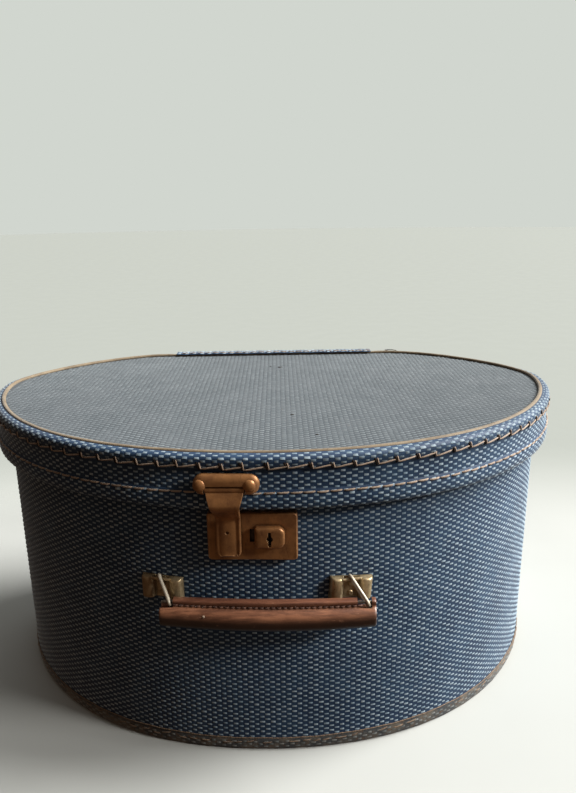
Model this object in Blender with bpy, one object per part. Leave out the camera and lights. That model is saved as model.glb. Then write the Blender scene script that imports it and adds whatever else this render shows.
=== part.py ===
"""Oval hat box with a flat back: hinged lid, hasp lock and a drop handle on two wire links.

Units are millimetres until a mesh is made, which is in metres. +X is the width, -Y the front, +Z up.
The outline is four Bezier quarters and a straight back; walls, bands and linings are rings inside it.
"""

import math

import bmesh
import bpy
from mathutils import Matrix, Vector

MM = 0.001
GAP = 0.3                      # left between neighbours that rest on each other

# Plan of the lid, about its widest line
HALF_WIDTH = 225.0
FRONT_DEPTH = 180.0
REAR_DEPTH = 108.0
BACK_HALF = 106.5              # half the length of the straight back
FRONT_ARMS = (61.0, 166.0)     # curve handles at the side and at the front
REAR_ARMS = (43.5, 45.5)       # curve handles at the side and at the back
FRONT_STEPS = 16
REAR_STEPS = 8
WIDEST_Y = 38.9                # the widest line lies this far behind the origin

# Heights
SKIRT_FOOT = 185.0
SKIRT_HEAD = 214.5
LID_BOARD = (214.8, 218.2)
LID_CROWN = 219.4
WALL_FOOT = 1.5
WALL_HEAD = 204.0

# Insets from the outline of the lid
SKIRT = (1.0, 4.4)
LID_LINER = (6.0, 6.6)
WALL = (9.5, 12.5)
CASE_LINER = (13.9, 14.7)
BINDING = 0.4                  # thickness of the strip round the foot of the wall

# Lock and hasp, in a frame that lies on the case wall at LOCK_X, with -Y pointing out of the wall
LOCK_X = -20.0
PLATE_U = (-21.0, 35.0)
PLATE_Z = (148.5, 180.5)
PLATE_FACE = 5.0
PLATE_SKIN = 0.8
HASP_U = -8.1
HASP_Z = 203.2
HASP_SIZE = (40.0, 12.6)
HASP_FACE = 14.0
HASP_PIN = (12.2, 199.4)       # how far it stands out, and its height
BUTTON_U = (8.6, 27.2)
BUTTON_Z = (158.4, 172.6)
BUTTON_FACE = 9.6
BOLT_OUT = (2.4, 3.4)
BUTTON_TRAVEL = 4.0

# Handle: one bracket at each end, a wire link on its bridge, and the grip's pins in the links
BRACKET_X = (-72.5, 48.5)
BRACKET_Z = (116.5, 133.5)
BRACKET_HALF = 14.0
BRACKET_CHEEK = 5.0            # half the recess between the cheeks
BRACKET_FACE = 5.8
BRACKET_FLOOR = 1.0
BRIDGE_OUT = 4.7
BRIDGE_Z = 131.6
BRIDGE_RADIUS = 1.0
LINK_WIRE = 0.9
LINK_BEND = 2.5
GRIP_PIN_X = (-66.8, 58.2)
GRIP_PIN_OUT = 14.4
GRIP_PIN_Z = 120.9
GRIP_END = 5.6                 # from a pin to the grip's end
GRIP_BOW = 4.0                 # how far the middle stands out of the line of the pins

# Hinges on the straight back
HINGE_X = (-62.0, 62.0)
HINGE_HALF = 16.0
HINGE_Y = 111.3
HINGE_Z = 182.5
KNUCKLE_RADIUS = 2.1
HINGE_BORE = 1.1
HINGE_PIN = 0.8
MID_KNUCKLE = 5.2

# Rivets
SHANK = 1.0
SHANK_HOLE = 1.3
LEAF_RIVET_X = 9.0
LOWER_RIVET_Z = 167.0
UPPER_RIVET_Z = 202.0

COLOURS = {
    "covering": ((0.055, 0.11, 0.18), 0.55, 0.0),
    "welt": ((0.42, 0.33, 0.22), 0.8, 0.0),
    "lining": ((0.62, 0.58, 0.5), 0.85, 0.0),
    "board": ((0.3, 0.24, 0.17), 0.85, 0.0),
    "lock_metal": ((0.3, 0.14, 0.06), 0.42, 1.0),
    "bracket_metal": ((0.42, 0.34, 0.18), 0.38, 1.0),
    "steel": ((0.62, 0.6, 0.55), 0.3, 1.0),
    "grip_leather": ((0.18, 0.07, 0.035), 0.45, 0.0),
}


# ---------------------------------------------------------------- plan outline

def bezier(points, steps):
    a, b, c, d = (Vector(p) for p in points)
    for i in range(steps):
        t = i / steps
        s = 1.0 - t
        yield a * s ** 3 + b * (3 * s * s * t) + c * (3 * s * t * t) + d * t ** 3


def plan():
    """The lid's outer outline, anticlockwise from the right-hand side."""
    w, f, r, b = HALF_WIDTH, FRONT_DEPTH, REAR_DEPTH, BACK_HALF
    rear = list(bezier(((w, 0), (w, REAR_ARMS[0]), (b + REAR_ARMS[1], r), (b, r)), REAR_STEPS))
    rear.append(Vector((b, r)))
    front = list(bezier(((-w, 0), (-w, -FRONT_ARMS[0]), (-FRONT_ARMS[1], -f), (0, -f)), FRONT_STEPS))
    left_rear = [Vector((-p.x, p.y)) for p in reversed(rear)]
    right_front = [Vector((-p.x, p.y)) for p in reversed(front[1:])]
    return rear + left_rear[:-1] + front + [Vector((0, -f))] + right_front


PLAN = plan()


def outline(inset):
    """The plan moved inwards by inset, as (x, y) in the object's frame."""
    moved = []
    for i, p in enumerate(PLAN):
        along = (PLAN[(i + 1) % len(PLAN)] - p).normalized() + (p - PLAN[i - 1]).normalized()
        along.normalize()
        moved.append(Vector((p.x - along.y * inset, p.y + along.x * inset + WIDEST_Y)))
    return moved


def front_y(x, inset):
    """The front outline's y at x."""
    points = sorted((p.x, p.y) for p in outline(inset) if p.y < WIDEST_Y)
    for (x0, y0), (x1, y1) in zip(points, points[1:]):
        if x0 <= x <= x1:
            return y0 + (y1 - y0) * (x - x0) / (x1 - x0)
    raise ValueError("x is off the front")


def wall_frame(x):
    """A frame on the case wall at x: local X runs along the wall, local -Y points out of it."""
    slope = (front_y(x + 4.0, WALL[0]) - front_y(x - 4.0, WALL[0])) / 8.0
    return Matrix.Translation((x, front_y(x, WALL[0]), 0)) @ Matrix.Rotation(math.atan(slope), 4, "Z")


def wall_out(frame, u, inset):
    """How far out, in a wall frame, the surface at this inset lies at u."""
    out = 0.0
    for _ in range(4):
        p = frame @ Vector((u, -out, 0))
        out -= (front_y(p.x, inset) - p.y) / frame.col[1].y
    return out


# ---------------------------------------------------------------- mesh helpers

ROOT = None


def clear_scene():
    for old in list(bpy.data.objects):
        bpy.data.objects.remove(old, do_unlink=True)


def material(slot):
    found = bpy.data.materials.get(slot)
    if found:
        return found
    made = bpy.data.materials.new(slot)
    made.use_nodes = True
    colour, roughness, metallic = COLOURS[slot]
    shader = made.node_tree.nodes["Principled BSDF"]
    shader.inputs["Base Color"].default_value = (*colour, 1.0)
    shader.inputs["Roughness"].default_value = roughness
    shader.inputs["Metallic"].default_value = metallic
    return made


def add(name, vertices, faces, slot=None, frame=None, parent=None, smooth=None):
    """An object from points in millimetres; slot None makes a cutter, which the model leaves out."""
    frame = frame or Matrix.Identity(4)
    mesh = bpy.data.meshes.new(name)
    work = bmesh.new()
    made = [work.verts.new((frame @ Vector(v)) * MM) for v in vertices]
    for face in faces:
        work.faces.new([made[i] for i in face])
    bmesh.ops.recalc_face_normals(work, faces=work.faces)
    if work.calc_volume(signed=True) < 0:
        bmesh.ops.reverse_faces(work, faces=work.faces)
    work.to_mesh(mesh)
    work.free()
    if smooth:
        mesh.shade_smooth()
        mesh.set_sharp_from_angle(angle=math.radians(smooth))
    thing = bpy.data.objects.new(name, mesh)
    bpy.context.collection.objects.link(thing)
    if slot:
        mesh.materials.append(material(slot))
        home = parent or ROOT
        thing.parent = home
        thing.matrix_parent_inverse = home.matrix_world.inverted()
    else:
        thing.hide_render = True
        thing.display_type = "WIRE"
    return thing


def pivot(name, point):
    """An empty on a joint's axis, which the moving pieces hang on."""
    empty = bpy.data.objects.new(name, None)
    bpy.context.collection.objects.link(empty)
    empty.empty_display_size = 0.02
    empty.location = Vector(point) * MM
    bpy.context.view_layer.update()
    return empty


def boolean(thing, other, operation):
    change = thing.modifiers.new(operation.lower(), "BOOLEAN")
    change.operation = operation
    change.solver = "EXACT"
    change.object = other


def cut(thing, *cutters):
    for cutter in cutters:
        boolean(thing, cutter, "DIFFERENCE")


def unite(thing, *others):
    for other in others:
        boolean(thing, other, "UNION")


def bridge(rings, closed):
    """Quads between successive rings of equal length, with capped ends unless the rings close up."""
    count = len(rings[0])
    vertices = [v for ring in rings for v in ring]
    faces = []
    pairs = len(rings) if closed else len(rings) - 1
    for r in range(pairs):
        a, b = r * count, ((r + 1) % len(rings)) * count
        for i in range(count):
            j = (i + 1) % count
            faces.append((a + i, a + j, b + j, b + i))
    if not closed:
        faces.append(tuple(reversed(range(count))))
        faces.append(tuple(range((len(rings) - 1) * count, len(rings) * count)))
    return vertices, faces


def band(name, profile, slot, parent=None):
    """A closed band round the outline; profile is a closed polygon of (inset, z)."""
    rings = [[(p.x, p.y, z) for p in outline(inset)] for inset, z in profile]
    vertices, faces = bridge(rings, closed=True)
    return add(name, vertices, faces, slot, parent=parent, smooth=35)


def panel(name, inset, z0, z1, slot, parent=None):
    """A board that fills the outline."""
    rings = [[(p.x, p.y, z) for p in outline(inset)] for z in (z0, z1)]
    vertices, faces = bridge(rings, closed=False)
    return add(name, vertices, faces, slot, parent=parent, smooth=35)


def prism(name, polygon, depth, slot=None, frame=None, parent=None):
    """A polygon in the local XZ plane, extruded along local Y between the two depths."""
    rings = [[(x, y, z) for x, z in polygon] for y in depth]
    vertices, faces = bridge(rings, closed=False)
    return add(name, vertices, faces, slot, frame, parent)


def bar(name, polygon, span, slot=None, frame=None, parent=None, smooth=None):
    """A polygon in the local YZ plane, extruded along local X over the span."""
    rings = [[(x, y, z) for y, z in polygon] for x in span]
    vertices, faces = bridge(rings, closed=False)
    return add(name, vertices, faces, slot, frame, parent, smooth)


def box(name, xs, ys, zs, slot=None, frame=None, parent=None):
    section = [(ys[0], zs[0]), (ys[1], zs[0]), (ys[1], zs[1]), (ys[0], zs[1])]
    return bar(name, section, xs, slot, frame, parent)


def circle(radius, sides, centre=(0.0, 0.0)):
    x, y = centre
    turns = [2 * math.pi * i / sides for i in range(sides)]
    return [(x + radius * math.cos(a), y + radius * math.sin(a)) for a in turns]


def turned(name, profile, axis_frame, slot=None, sides=10, parent=None):
    """A solid of revolution about local Z; profile runs from one end to the other as (radius, z)."""
    rings = [[(x, y, z) for x, y in circle(radius, sides)] for radius, z in profile]
    vertices, faces = bridge(rings, closed=False)
    return add(name, vertices, faces, slot, axis_frame, parent, smooth=40)


def rod(name, start, end, radius, slot=None, sides=10, parent=None):
    """A straight round rod between two points."""
    start, end = Vector(start), Vector(end)
    turn = (end - start).to_track_quat("Z", "Y").to_matrix().to_4x4()
    length = (end - start).length
    place = Matrix.Translation(start) @ turn
    return turned(name, [(radius, 0.0), (radius, length)], place, slot, sides, parent)


def rounded(half_x, half_z, radii, steps=3):
    """A rectangle about the origin with its four corner radii, from the lower left, anticlockwise."""
    centres = ((-1, -1, 180), (1, -1, 270), (1, 1, 0), (-1, 1, 90))
    points = []
    for (sx, sz, begin), radius in zip(centres, radii):
        cx, cz = sx * (half_x - radius), sz * (half_z - radius)
        for i in range(steps + 1):
            a = math.radians(begin + 90.0 * i / steps)
            points.append((cx + radius * math.cos(a), cz + radius * math.sin(a)))
    return points


def split_long(points, longest=9.0):
    """Adds points along edges longer than longest, so that they can follow a curved wall."""
    out = []
    for p, q in zip(points, points[1:] + points[:1]):
        parts = max(1, math.ceil(math.dist(p, q) / longest))
        out += [(p[0] + (q[0] - p[0]) * i / parts, p[1] + (q[1] - p[1]) * i / parts) for i in range(parts)]
    return out


def dish(name, shape, inner, face, skin, frame, inset, slot, parent=None, soften=0.8):
    """A pressed cover, open at the back, whose rim follows the surface at this inset."""
    shape, inner = split_long(shape), split_long(inner)
    rim = [(u, -(wall_out(frame, u, inset) + GAP), z) for u, z in shape]
    shoulder = [(u, -(face - soften), z) for u, z in shape]
    middle = (sum(u for u, _ in shape) / len(shape), sum(z for _, z in shape) / len(shape))
    top = []
    for u, z in shape:
        du, dz = u - middle[0], z - middle[1]
        pull = soften / math.hypot(du, dz)
        top.append((u - du * pull, -face, z - dz * pull))
    inner_top = [(u, -(face - skin), z) for u, z in inner]
    inner_rim = [(u, -(wall_out(frame, u, inset) + GAP), z) for u, z in inner]
    count = len(shape)
    vertices = top + shoulder + rim + inner_rim + inner_top
    faces = [tuple(range(count)), tuple(range(4 * count, 5 * count))]
    for ring in range(4):
        for i in range(count):
            j = (i + 1) % count
            low, high = ring * count, (ring + 1) * count
            faces.append((low + i, low + j, high + j, high + i))
    return add(name, vertices, faces, slot, frame, parent, smooth=35)


def rivet(name, face_point, outward, grip, slot, head=(2.2, 1.0), parent=None):
    """A rivet whose head sits on face_point and whose tail is clinched grip below it."""
    outward = Vector(outward).normalized()
    turn = outward.to_track_quat("Z", "Y").to_matrix().to_4x4()
    frame = Matrix.Translation(Vector(face_point)) @ turn
    radius, height = head
    tail = -(grip + GAP)
    profile = [(1.6, tail - 0.7), (2.0, tail), (SHANK, tail), (SHANK, GAP), (radius, GAP),
               (radius, GAP + 0.3 * height), (0.6 * radius, GAP + height)]
    return turned(name, profile, frame, slot, sides=8, parent=parent)


def hole(name, point, outward, depth):
    """A cutter for one rivet's shank, from outside the face to depth below it."""
    outward = Vector(outward).normalized()
    point = Vector(point)
    return rod(name, point + outward * 3.0, point - outward * depth, SHANK_HOLE, sides=8)


# ---------------------------------------------------------------- the case

def case_shell():
    wall = band("body_wall", [(WALL[0], WALL_FOOT), (WALL[0], WALL_HEAD), (WALL[1], WALL_HEAD),
                              (WALL[1], WALL_FOOT)], "covering")
    panel("base_board", WALL[1] + GAP, WALL_FOOT, 5.0, "board")
    out, lip_out, lip = WALL[0] - GAP - BINDING, WALL[0] - 0.1, WALL_FOOT - GAP
    band("base_lip", [(lip_out, 0), (lip_out, lip), (19.0, lip), (19.0, 0)], "covering")
    binding = [(out, WALL_FOOT), (out, 9.5), (out + BINDING, 9.5), (out + BINDING, WALL_FOOT)]
    band("base_binding", binding, "covering")
    band("case_lining", [(CASE_LINER[0], 5.3), (CASE_LINER[0], 202.0), (CASE_LINER[1], 202.0),
                         (CASE_LINER[1], 5.3)], "lining")
    panel("floor_lining", CASE_LINER[1] + GAP, 5.3, 6.6, "lining")
    return wall


def lid_shell(lid):
    panel("lid_board", SKIRT[0], *LID_BOARD, "covering", lid)
    skirt = band("lid_skirt", [(SKIRT[0], SKIRT_FOOT), (SKIRT[0], SKIRT_HEAD), (SKIRT[1], SKIRT_HEAD),
                               (SKIRT[1], SKIRT_FOOT)], "covering", lid)
    under = LID_BOARD[1] + GAP
    band("lid_binding", [(0, 211.0), (0, 217.0), (1.6, 218.9), (6.0, LID_CROWN), (6.0, under), (0.6, under),
                         (0.6, 211.0)], "covering", lid)
    band("lid_welt", [(6.3, 219.4), (6.9, 220.2), (7.9, 220.2), (8.5, 219.4), (8.0, under), (6.8, under)],
         "welt", lid)
    foot = SKIRT_FOOT - GAP
    band("lid_hem", [(0, foot - 0.7), (0, 196.0), (0.7, 196.0), (0.7, foot), (5.3, foot), (5.3, foot - 0.7)],
         "covering", lid)
    panel("lid_lining", SKIRT[1] + GAP, 213.6, 214.5, "lining", lid)
    band("lid_lining_band", [(LID_LINER[0], 186.0), (LID_LINER[0], 213.3), (LID_LINER[1], 213.3),
                             (LID_LINER[1], 186.0)], "lining", lid)
    return skirt


def back_strip(lid):
    """The reinforcing strip over the lid's back edge, under the hinges."""
    inner = WIDEST_Y + REAR_DEPTH + GAP
    outer = inner + 0.8
    over = 220.5
    profile = [(outer, 187.0), (outer, over + 0.7), (inner - 11.0, over + 0.7), (inner - 11.0, over),
               (inner, over), (inner, 187.0)]
    return bar("back_strip", profile, (-95.0, 95.0), "covering", parent=lid)


def hinges(wall, skirt, strip, lid):
    """Two butt hinges on the straight back; the lower leaf is joggled in to the case wall."""
    axis_y = WIDEST_Y + HINGE_Y
    leaf_up = WIDEST_Y + REAR_DEPTH + GAP + 0.8 + GAP
    leaf_low = WIDEST_Y + REAR_DEPTH - WALL[0] + GAP
    for side, x in zip(("left", "right"), HINGE_X):
        span = (x - HINGE_HALF, x + HINGE_HALF)
        barrel = circle(KNUCKLE_RADIUS, 12, (axis_y, HINGE_Z))
        bore = circle(HINGE_BORE, 10, (axis_y, HINGE_Z))
        bore = bar(f"{side}_hinge_bore", bore, (span[0] - 1, span[1] + 1))
        notch_y, notch_z = (axis_y - 2.6, axis_y + 3.0), (HINGE_Z - 3.0, HINGE_Z + 2.5)
        ends = [box(f"{side}_end_notch_{i}", xs, notch_y, notch_z)
                for i, xs in enumerate(((span[0] - 1, x - MID_KNUCKLE), (x + MID_KNUCKLE, span[1] + 1)))]
        reach = MID_KNUCKLE + GAP
        middle = box(f"{side}_middle_notch", (x - reach, x + reach), (axis_y - 2.6, axis_y + 3.0), notch_z)

        upper = box(f"{side}_hinge_upper_leaf", span, (leaf_up, leaf_up + 0.8), (HINGE_Z + 0.6, 207.0),
                    "steel", parent=lid)
        unite(upper, bar(f"{side}_upper_barrel", barrel, span))
        cut(upper, bore, *ends)

        joggle = [(leaf_low, 159.0), (leaf_low + 0.8, 159.0), (leaf_low + 0.8, 176.6),
                  (axis_y - 0.6, 180.9), (axis_y - 0.9, 182.0), (leaf_low, 177.6)]
        lower = bar(f"{side}_hinge_lower_leaf", joggle, span, "steel")
        unite(lower, bar(f"{side}_lower_barrel", barrel, span))
        cut(lower, bore, middle)
        pin_ends = [(px, axis_y, HINGE_Z) for px in (span[0] - 0.4, span[1] + 0.4)]
        rod(f"{side}_hinge_pin", *pin_ends, HINGE_PIN, "steel")

        for end, dx in (("outer", -LEAF_RIVET_X), ("inner", LEAF_RIVET_X)):
            back = (0, 1, 0)
            up = (x + dx, leaf_up + 0.8, UPPER_RIVET_Z)
            low = (x + dx, leaf_low + 0.8, LOWER_RIVET_Z)
            up_grip = leaf_up + 0.8 - (WIDEST_Y + REAR_DEPTH - SKIRT[1])
            low_grip = leaf_low + 0.8 - (WIDEST_Y + REAR_DEPTH - WALL[1])
            rivet(f"{side}_upper_{end}_rivet", up, back, up_grip, "steel", parent=lid)
            rivet(f"{side}_lower_{end}_rivet", low, back, low_grip, "steel")
            up_hole = hole(f"{side}_upper_{end}_hole", up, back, up_grip + 2.0)
            low_hole = hole(f"{side}_lower_{end}_hole", low, back, low_grip + 2.0)
            for thing in (upper, strip, skirt):
                cut(thing, up_hole)
            for thing in (lower, wall):
                cut(thing, low_hole)


# ---------------------------------------------------------------- lock

def shifted(points, du, dz):
    return [(u + du, z + dz) for u, z in points]


def lock(frame, wall, slide, key):
    """Pressed lock cover, its base, and the button that carries the bolt."""
    half_u, half_z = (PLATE_U[1] - PLATE_U[0]) / 2, (PLATE_Z[1] - PLATE_Z[0]) / 2
    mid_u, mid_z = sum(PLATE_U) / 2, sum(PLATE_Z) / 2
    outer = shifted(rounded(half_u, half_z, (2.0,) * 4, 2), mid_u, mid_z)
    inner = shifted(rounded(half_u - PLATE_SKIN, half_z - PLATE_SKIN, (1.2,) * 4, 2), mid_u, mid_z)
    cover = dish("lock_cover", outer, inner, PLATE_FACE, PLATE_SKIN, frame, WALL[0], "lock_metal")
    key_u, key_z = sum(BUTTON_U) / 2, sum(BUTTON_Z) / 2
    through = (-PLATE_FACE - 1.0, -PLATE_FACE + PLATE_SKIN + 0.4)
    post_u, side_z, end_u = (9.8, 12.4), 4.0, (15.0, 20.0)
    slot_low = (post_u[0] - BUTTON_TRAVEL - 0.4, post_u[1] + 0.4)
    cut(cover,
        box("post_slot", slot_low, through, (key_z - side_z - 0.4, key_z + side_z + 0.4), frame=frame),
        box("stem_slot", (end_u[0] - BUTTON_TRAVEL - 0.4, end_u[1] + 0.4), through,
            (BUTTON_Z[0] + 0.4, BUTTON_Z[1] - 0.4), frame=frame),
        box("staple_slot", (HASP_U - 2.1, HASP_U + 2.1), through, (key_z - 7.6, key_z + 7.0), frame=frame),
        box("staple_way_up", (HASP_U - 2.1, HASP_U + 2.1), (-PLATE_FACE - 1.0, 1.0),
            (key_z + 6.2, PLATE_Z[1] + 1.0), frame=frame))

    base_u = (PLATE_U[0] + PLATE_SKIN + 2 * GAP, PLATE_U[1] - PLATE_SKIN - 2 * GAP)
    base_z = (PLATE_Z[0] + PLATE_SKIN + 2 * GAP, PLATE_Z[1] - PLATE_SKIN - 2 * GAP)
    us = [base_u[0] + (base_u[1] - base_u[0]) * i / 6 for i in range(7)]
    back = [(u, -(wall_out(frame, u, WALL[0]) + GAP)) for u in us]
    front = [(u, y - 0.7) for u, y in reversed(back)]
    rings = [[(u, y, z) for u, y in back + front] for z in base_z]
    base = add("lock_base", *bridge(rings, closed=False), "steel", frame)
    for i, (u, z) in enumerate(((base_u[0] + 3.0, base_z[0] + 3.0), (base_u[0] + 3.0, base_z[1] - 3.0),
                                (base_u[1] - 3.0, base_z[0] + 3.0), (base_u[1] - 3.0, base_z[1] - 3.0))):
        out = wall_out(frame, u, WALL[0]) + GAP + 0.7
        point, outward = frame @ Vector((u, -out, z)), frame.to_3x3() @ Vector((0, -1, 0))
        rivet(f"lock_rivet_{i + 1}", point, outward, out - wall_out(frame, u, WALL[1]), "steel", (1.9, 0.7))
        drill = hole(f"lock_hole_{i + 1}", point, outward, 7.0)
        cut(base, drill)
        cut(wall, drill)

    bolt_shape = [(-6.3, key_z - 2.0), (6.0, key_z - 2.0), (6.0, key_z - 8.0), (26.0, key_z - 8.0),
                  (26.0, key_z + 8.0), (6.0, key_z + 8.0), (6.0, key_z + 2.0), (-6.3, key_z + 2.0)]
    prism("lock_bolt", bolt_shape, (-BOLT_OUT[0], -BOLT_OUT[1]), "steel", frame, slide)
    bow = (9.0, 12.5, 16.0, 19.5, 23.0)
    spring = [(u, -(1.35 + 0.35 * math.cos(2 * math.pi * (u - 9.0) / 14.0))) for u in bow]
    leaf = spring + [(u, y - 0.3) for u, y in reversed(spring)]
    add("lock_spring", *bridge([[(u, y, z) for u, y in leaf] for z in (key_z - 3.0, key_z + 3.0)], False),
        "steel", frame)

    button(frame, slide, key_u, key_z, post_u, side_z, end_u)
    barrel = turned("key_barrel", [(3.9, 5.5), (3.9, 8.2)],
                    frame @ Matrix.Translation((key_u, 0, key_z)) @ Matrix.Rotation(math.pi / 2, 4, "X"),
                    "steel", 16, key)
    keyway = (key_u - 0.8, key_u + 0.8)
    cut(barrel, box("keyway", keyway, (-9.0, -5.0), (key_z - 3.2, key_z + 3.2), frame=frame))


def button(frame, slide, key_u, key_z, post_u, side_z, end_u):
    """The sliding button: a pressed cap with a keyhole, and the posts that reach the bolt."""
    half_u, half_z = (BUTTON_U[1] - BUTTON_U[0]) / 2, (BUTTON_Z[1] - BUTTON_Z[0]) / 2
    rear = PLATE_FACE + 0.4
    shape = shifted(rounded(half_u, half_z, (1.2, 4.5, 4.5, 1.2)), key_u, key_z)
    crown = shifted(rounded(half_u - 0.9, half_z - 0.9, (0.8, 3.6, 3.6, 0.8)), key_u, key_z)
    inner = shifted(rounded(half_u - 1.0, half_z - 1.0, (0.8, 3.5, 3.5, 0.8)), key_u, key_z)
    depths = ((shape, rear), (shape, BUTTON_FACE - 0.9), (crown, BUTTON_FACE))
    rings = [[(u, -out, z) for u, z in ring] for ring, out in depths]
    cap = add("lock_button", *bridge(rings, closed=False), "lock_metal", frame, slide, smooth=35)
    cut(cap, prism("button_hollow", inner, (-rear + 1.0, -BUTTON_FACE + 1.1), frame=frame))
    reach = (-BOLT_OUT[1] - GAP, -BUTTON_FACE + 0.6)
    unite(cap, box("side_post", post_u, reach, (key_z - side_z, key_z + side_z), frame=frame),
          box("lower_stem", end_u, reach, (BUTTON_Z[0] + 0.8, BUTTON_Z[0] + 2.2), frame=frame),
          box("upper_stem", end_u, reach, (BUTTON_Z[1] - 2.2, BUTTON_Z[1] - 0.8), frame=frame))
    slot_u, slot_z = (key_u - 0.85, key_u + 0.85), (key_z - 4.8, key_z + 4.8)
    cut(cap, box("keyhole_slot", slot_u, (-11, -8.3), slot_z, frame=frame),
        prism("keyhole_eye", circle(1.9, 12, (key_u, key_z)), (-11, -8.3), frame=frame))


# ---------------------------------------------------------------- hasp

def hasp(frame, skirt, lid, arm_body):
    """The riveted hasp plate on the lid, the arm that swings on it, and the arm's staple."""
    half_u, half_z = HASP_SIZE[0] / 2, HASP_SIZE[1] / 2
    outer = shifted(rounded(half_u, half_z, (half_z,) * 4, 4), HASP_U, HASP_Z)
    inner = shifted(rounded(half_u - 0.9, half_z - 0.9, (half_z - 0.9,) * 4, 4), HASP_U, HASP_Z)
    plate = dish("hasp_plate", outer, inner, HASP_FACE, 0.9, frame, -GAP, "lock_metal", lid, 1.1)
    pin_out, pin_z = HASP_PIN
    arm_half = 11.9
    cut(plate, box("arm_mouth", (HASP_U - arm_half - 0.6, HASP_U + arm_half + 0.6), (-HASP_FACE - 1.0, -9.9),
                   (HASP_Z - half_z - 1.0, pin_z + 1.9), frame=frame))
    pin_ends = [frame @ Vector((HASP_U + du, -pin_out, pin_z)) for du in (-15.6, 15.6)]
    rod("hasp_pin", *pin_ends, 0.6, "steel", 8, lid)
    outward = frame.to_3x3() @ Vector((0, -1, 0))
    for side, du in (("left", -14.8), ("right", 14.8)):
        point = frame @ Vector((HASP_U + du, -HASP_FACE, HASP_Z))
        inside = wall_out(frame, HASP_U + du, SKIRT[1])
        rivet(f"hasp_{side}_rivet", point, outward, HASP_FACE - inside, "lock_metal", (3.4, 2.0), lid)
        drill = hole(f"hasp_{side}_hole", point, outward, 12.0)
        cut(plate, drill)
        cut(skirt, drill)

    stations = [(14.0, 197.9, 11.5), (17.2, 190.8, 9.4), (17.0, 188.8, 8.8), (12.4, 183.6, 8.2),
                (8.6, 180.4, 7.9), (7.0, 177.4, 7.8), (7.0, 154.6, 7.8), (7.5, 152.8, 6.4)]
    stations.insert(0, (pin_out + 0.5, pin_z - 0.4, arm_half))
    rings = []
    for i, (out, z, half) in enumerate(stations):
        before, after = stations[max(i - 1, 0)], stations[min(i + 1, len(stations) - 1)]
        along = Vector((after[0] - before[0], after[1] - before[1])).normalized()
        side = Vector((along.y, -along.x)) * 0.6
        left, right = HASP_U - half, HASP_U + half
        outer, inner = (-out - side.x, z + side.y), (-out + side.x, z - side.y)
        rings.append([(left, *outer), (right, *outer), (right, *inner), (left, *inner)])
    arm = add("hasp_arm", *bridge(rings, closed=False), "lock_metal", frame, arm_body, smooth=50)
    arm_u = (HASP_U - arm_half, HASP_U + arm_half)
    unite(arm, bar("arm_knuckle", circle(1.6, 12, (-pin_out, pin_z)), arm_u, frame=frame))
    bore = circle(0.95, 8, (-pin_out, pin_z))
    cut(arm, bar("arm_bore", bore, (HASP_U - 14, HASP_U + 14), frame=frame),
        prism("arm_hole", circle(0.9, 8, (HASP_U - 0.6, 168.8)), (-9.0, -6.0), frame=frame))
    key_z = sum(BUTTON_Z) / 2
    staple = box("hasp_staple", (HASP_U - 1.5, HASP_U + 1.5), (-6.1, -1.3), (key_z - 5.0, key_z + 5.0),
                 "steel", frame, arm_body)
    eye_u, eye_z = (HASP_U - 3, HASP_U + 3), (key_z - 2.8, key_z + 2.8)
    cut(staple, box("staple_eye", eye_u, (-4.3, -2.0), eye_z, frame=frame))


# ---------------------------------------------------------------- handle

def bracket(side, x, wall):
    """A pressed bracket with two raised cheeks, and the bridge between them that carries the link."""
    frame = wall_frame(x)
    half, cheek, face = BRACKET_HALF, BRACKET_CHEEK, BRACKET_FACE
    back = [(u, -(wall_out(frame, u, WALL[0]) + GAP)) for u in (half, half / 2, 0.0, -half / 2, -half)]
    shape = back + [(-half, -face + 0.8), (-half + 0.8, -face), (-cheek - 0.8, -face),
                    (-cheek, -face + 0.8), (-cheek, -BRACKET_FLOOR), (cheek, -BRACKET_FLOOR),
                    (cheek, -face + 0.8), (cheek + 0.8, -face), (half - 0.8, -face), (half, -face + 0.8)]
    rings = [[(u, y, z) for u, y in shape] for z in BRACKET_Z]
    body = add(f"{side}_bracket", *bridge(rings, closed=False), "bracket_metal", frame)
    bridge_round = circle(BRIDGE_RADIUS, 10, (-BRIDGE_OUT, BRIDGE_Z))
    unite(body, bar(f"{side}_bridge", bridge_round, (-cheek - 1, cheek + 1), frame=frame))
    outward = frame.to_3x3() @ Vector((0, -1, 0))
    for level, z in (("lower", BRACKET_Z[0] + 3.5), ("upper", BRACKET_Z[0] + 10.5)):
        point = frame @ Vector((0, -BRACKET_FLOOR, z))
        grip_length = BRACKET_FLOOR + WALL[1] - WALL[0]
        rivet(f"{side}_bracket_{level}_rivet", point, outward, grip_length, "bracket_metal")
        drill = hole(f"{side}_bracket_{level}_hole", point, outward, 6.5)
        cut(body, drill)
        cut(wall, drill)
    return frame @ Vector((0, -BRIDGE_OUT, BRIDGE_Z))


def link(side, top, bottom, parent):
    """A closed oval link of round wire that hangs on the bridge and holds the grip's pin."""
    along = (bottom - top).normalized()
    across = along.cross(Vector((1, 0, 0))).normalized()
    normal = along.cross(across)
    path = []
    for centre, begin in ((bottom, 0.0), (top, math.pi)):
        for i in range(6):
            a = begin + math.pi * i / 5
            path.append((centre, math.cos(a), math.sin(a)))
    rings = []
    for centre, c, s in path:
        radial = across * c + along * s
        middle = centre + radial * LINK_BEND
        rings.append([middle + (radial * x + normal * y) for x, y in circle(LINK_WIRE, 7)])
    vertices, faces = bridge(rings, closed=True)
    return add(f"{side}_link", vertices, faces, "steel", parent=parent, smooth=60)


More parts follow.
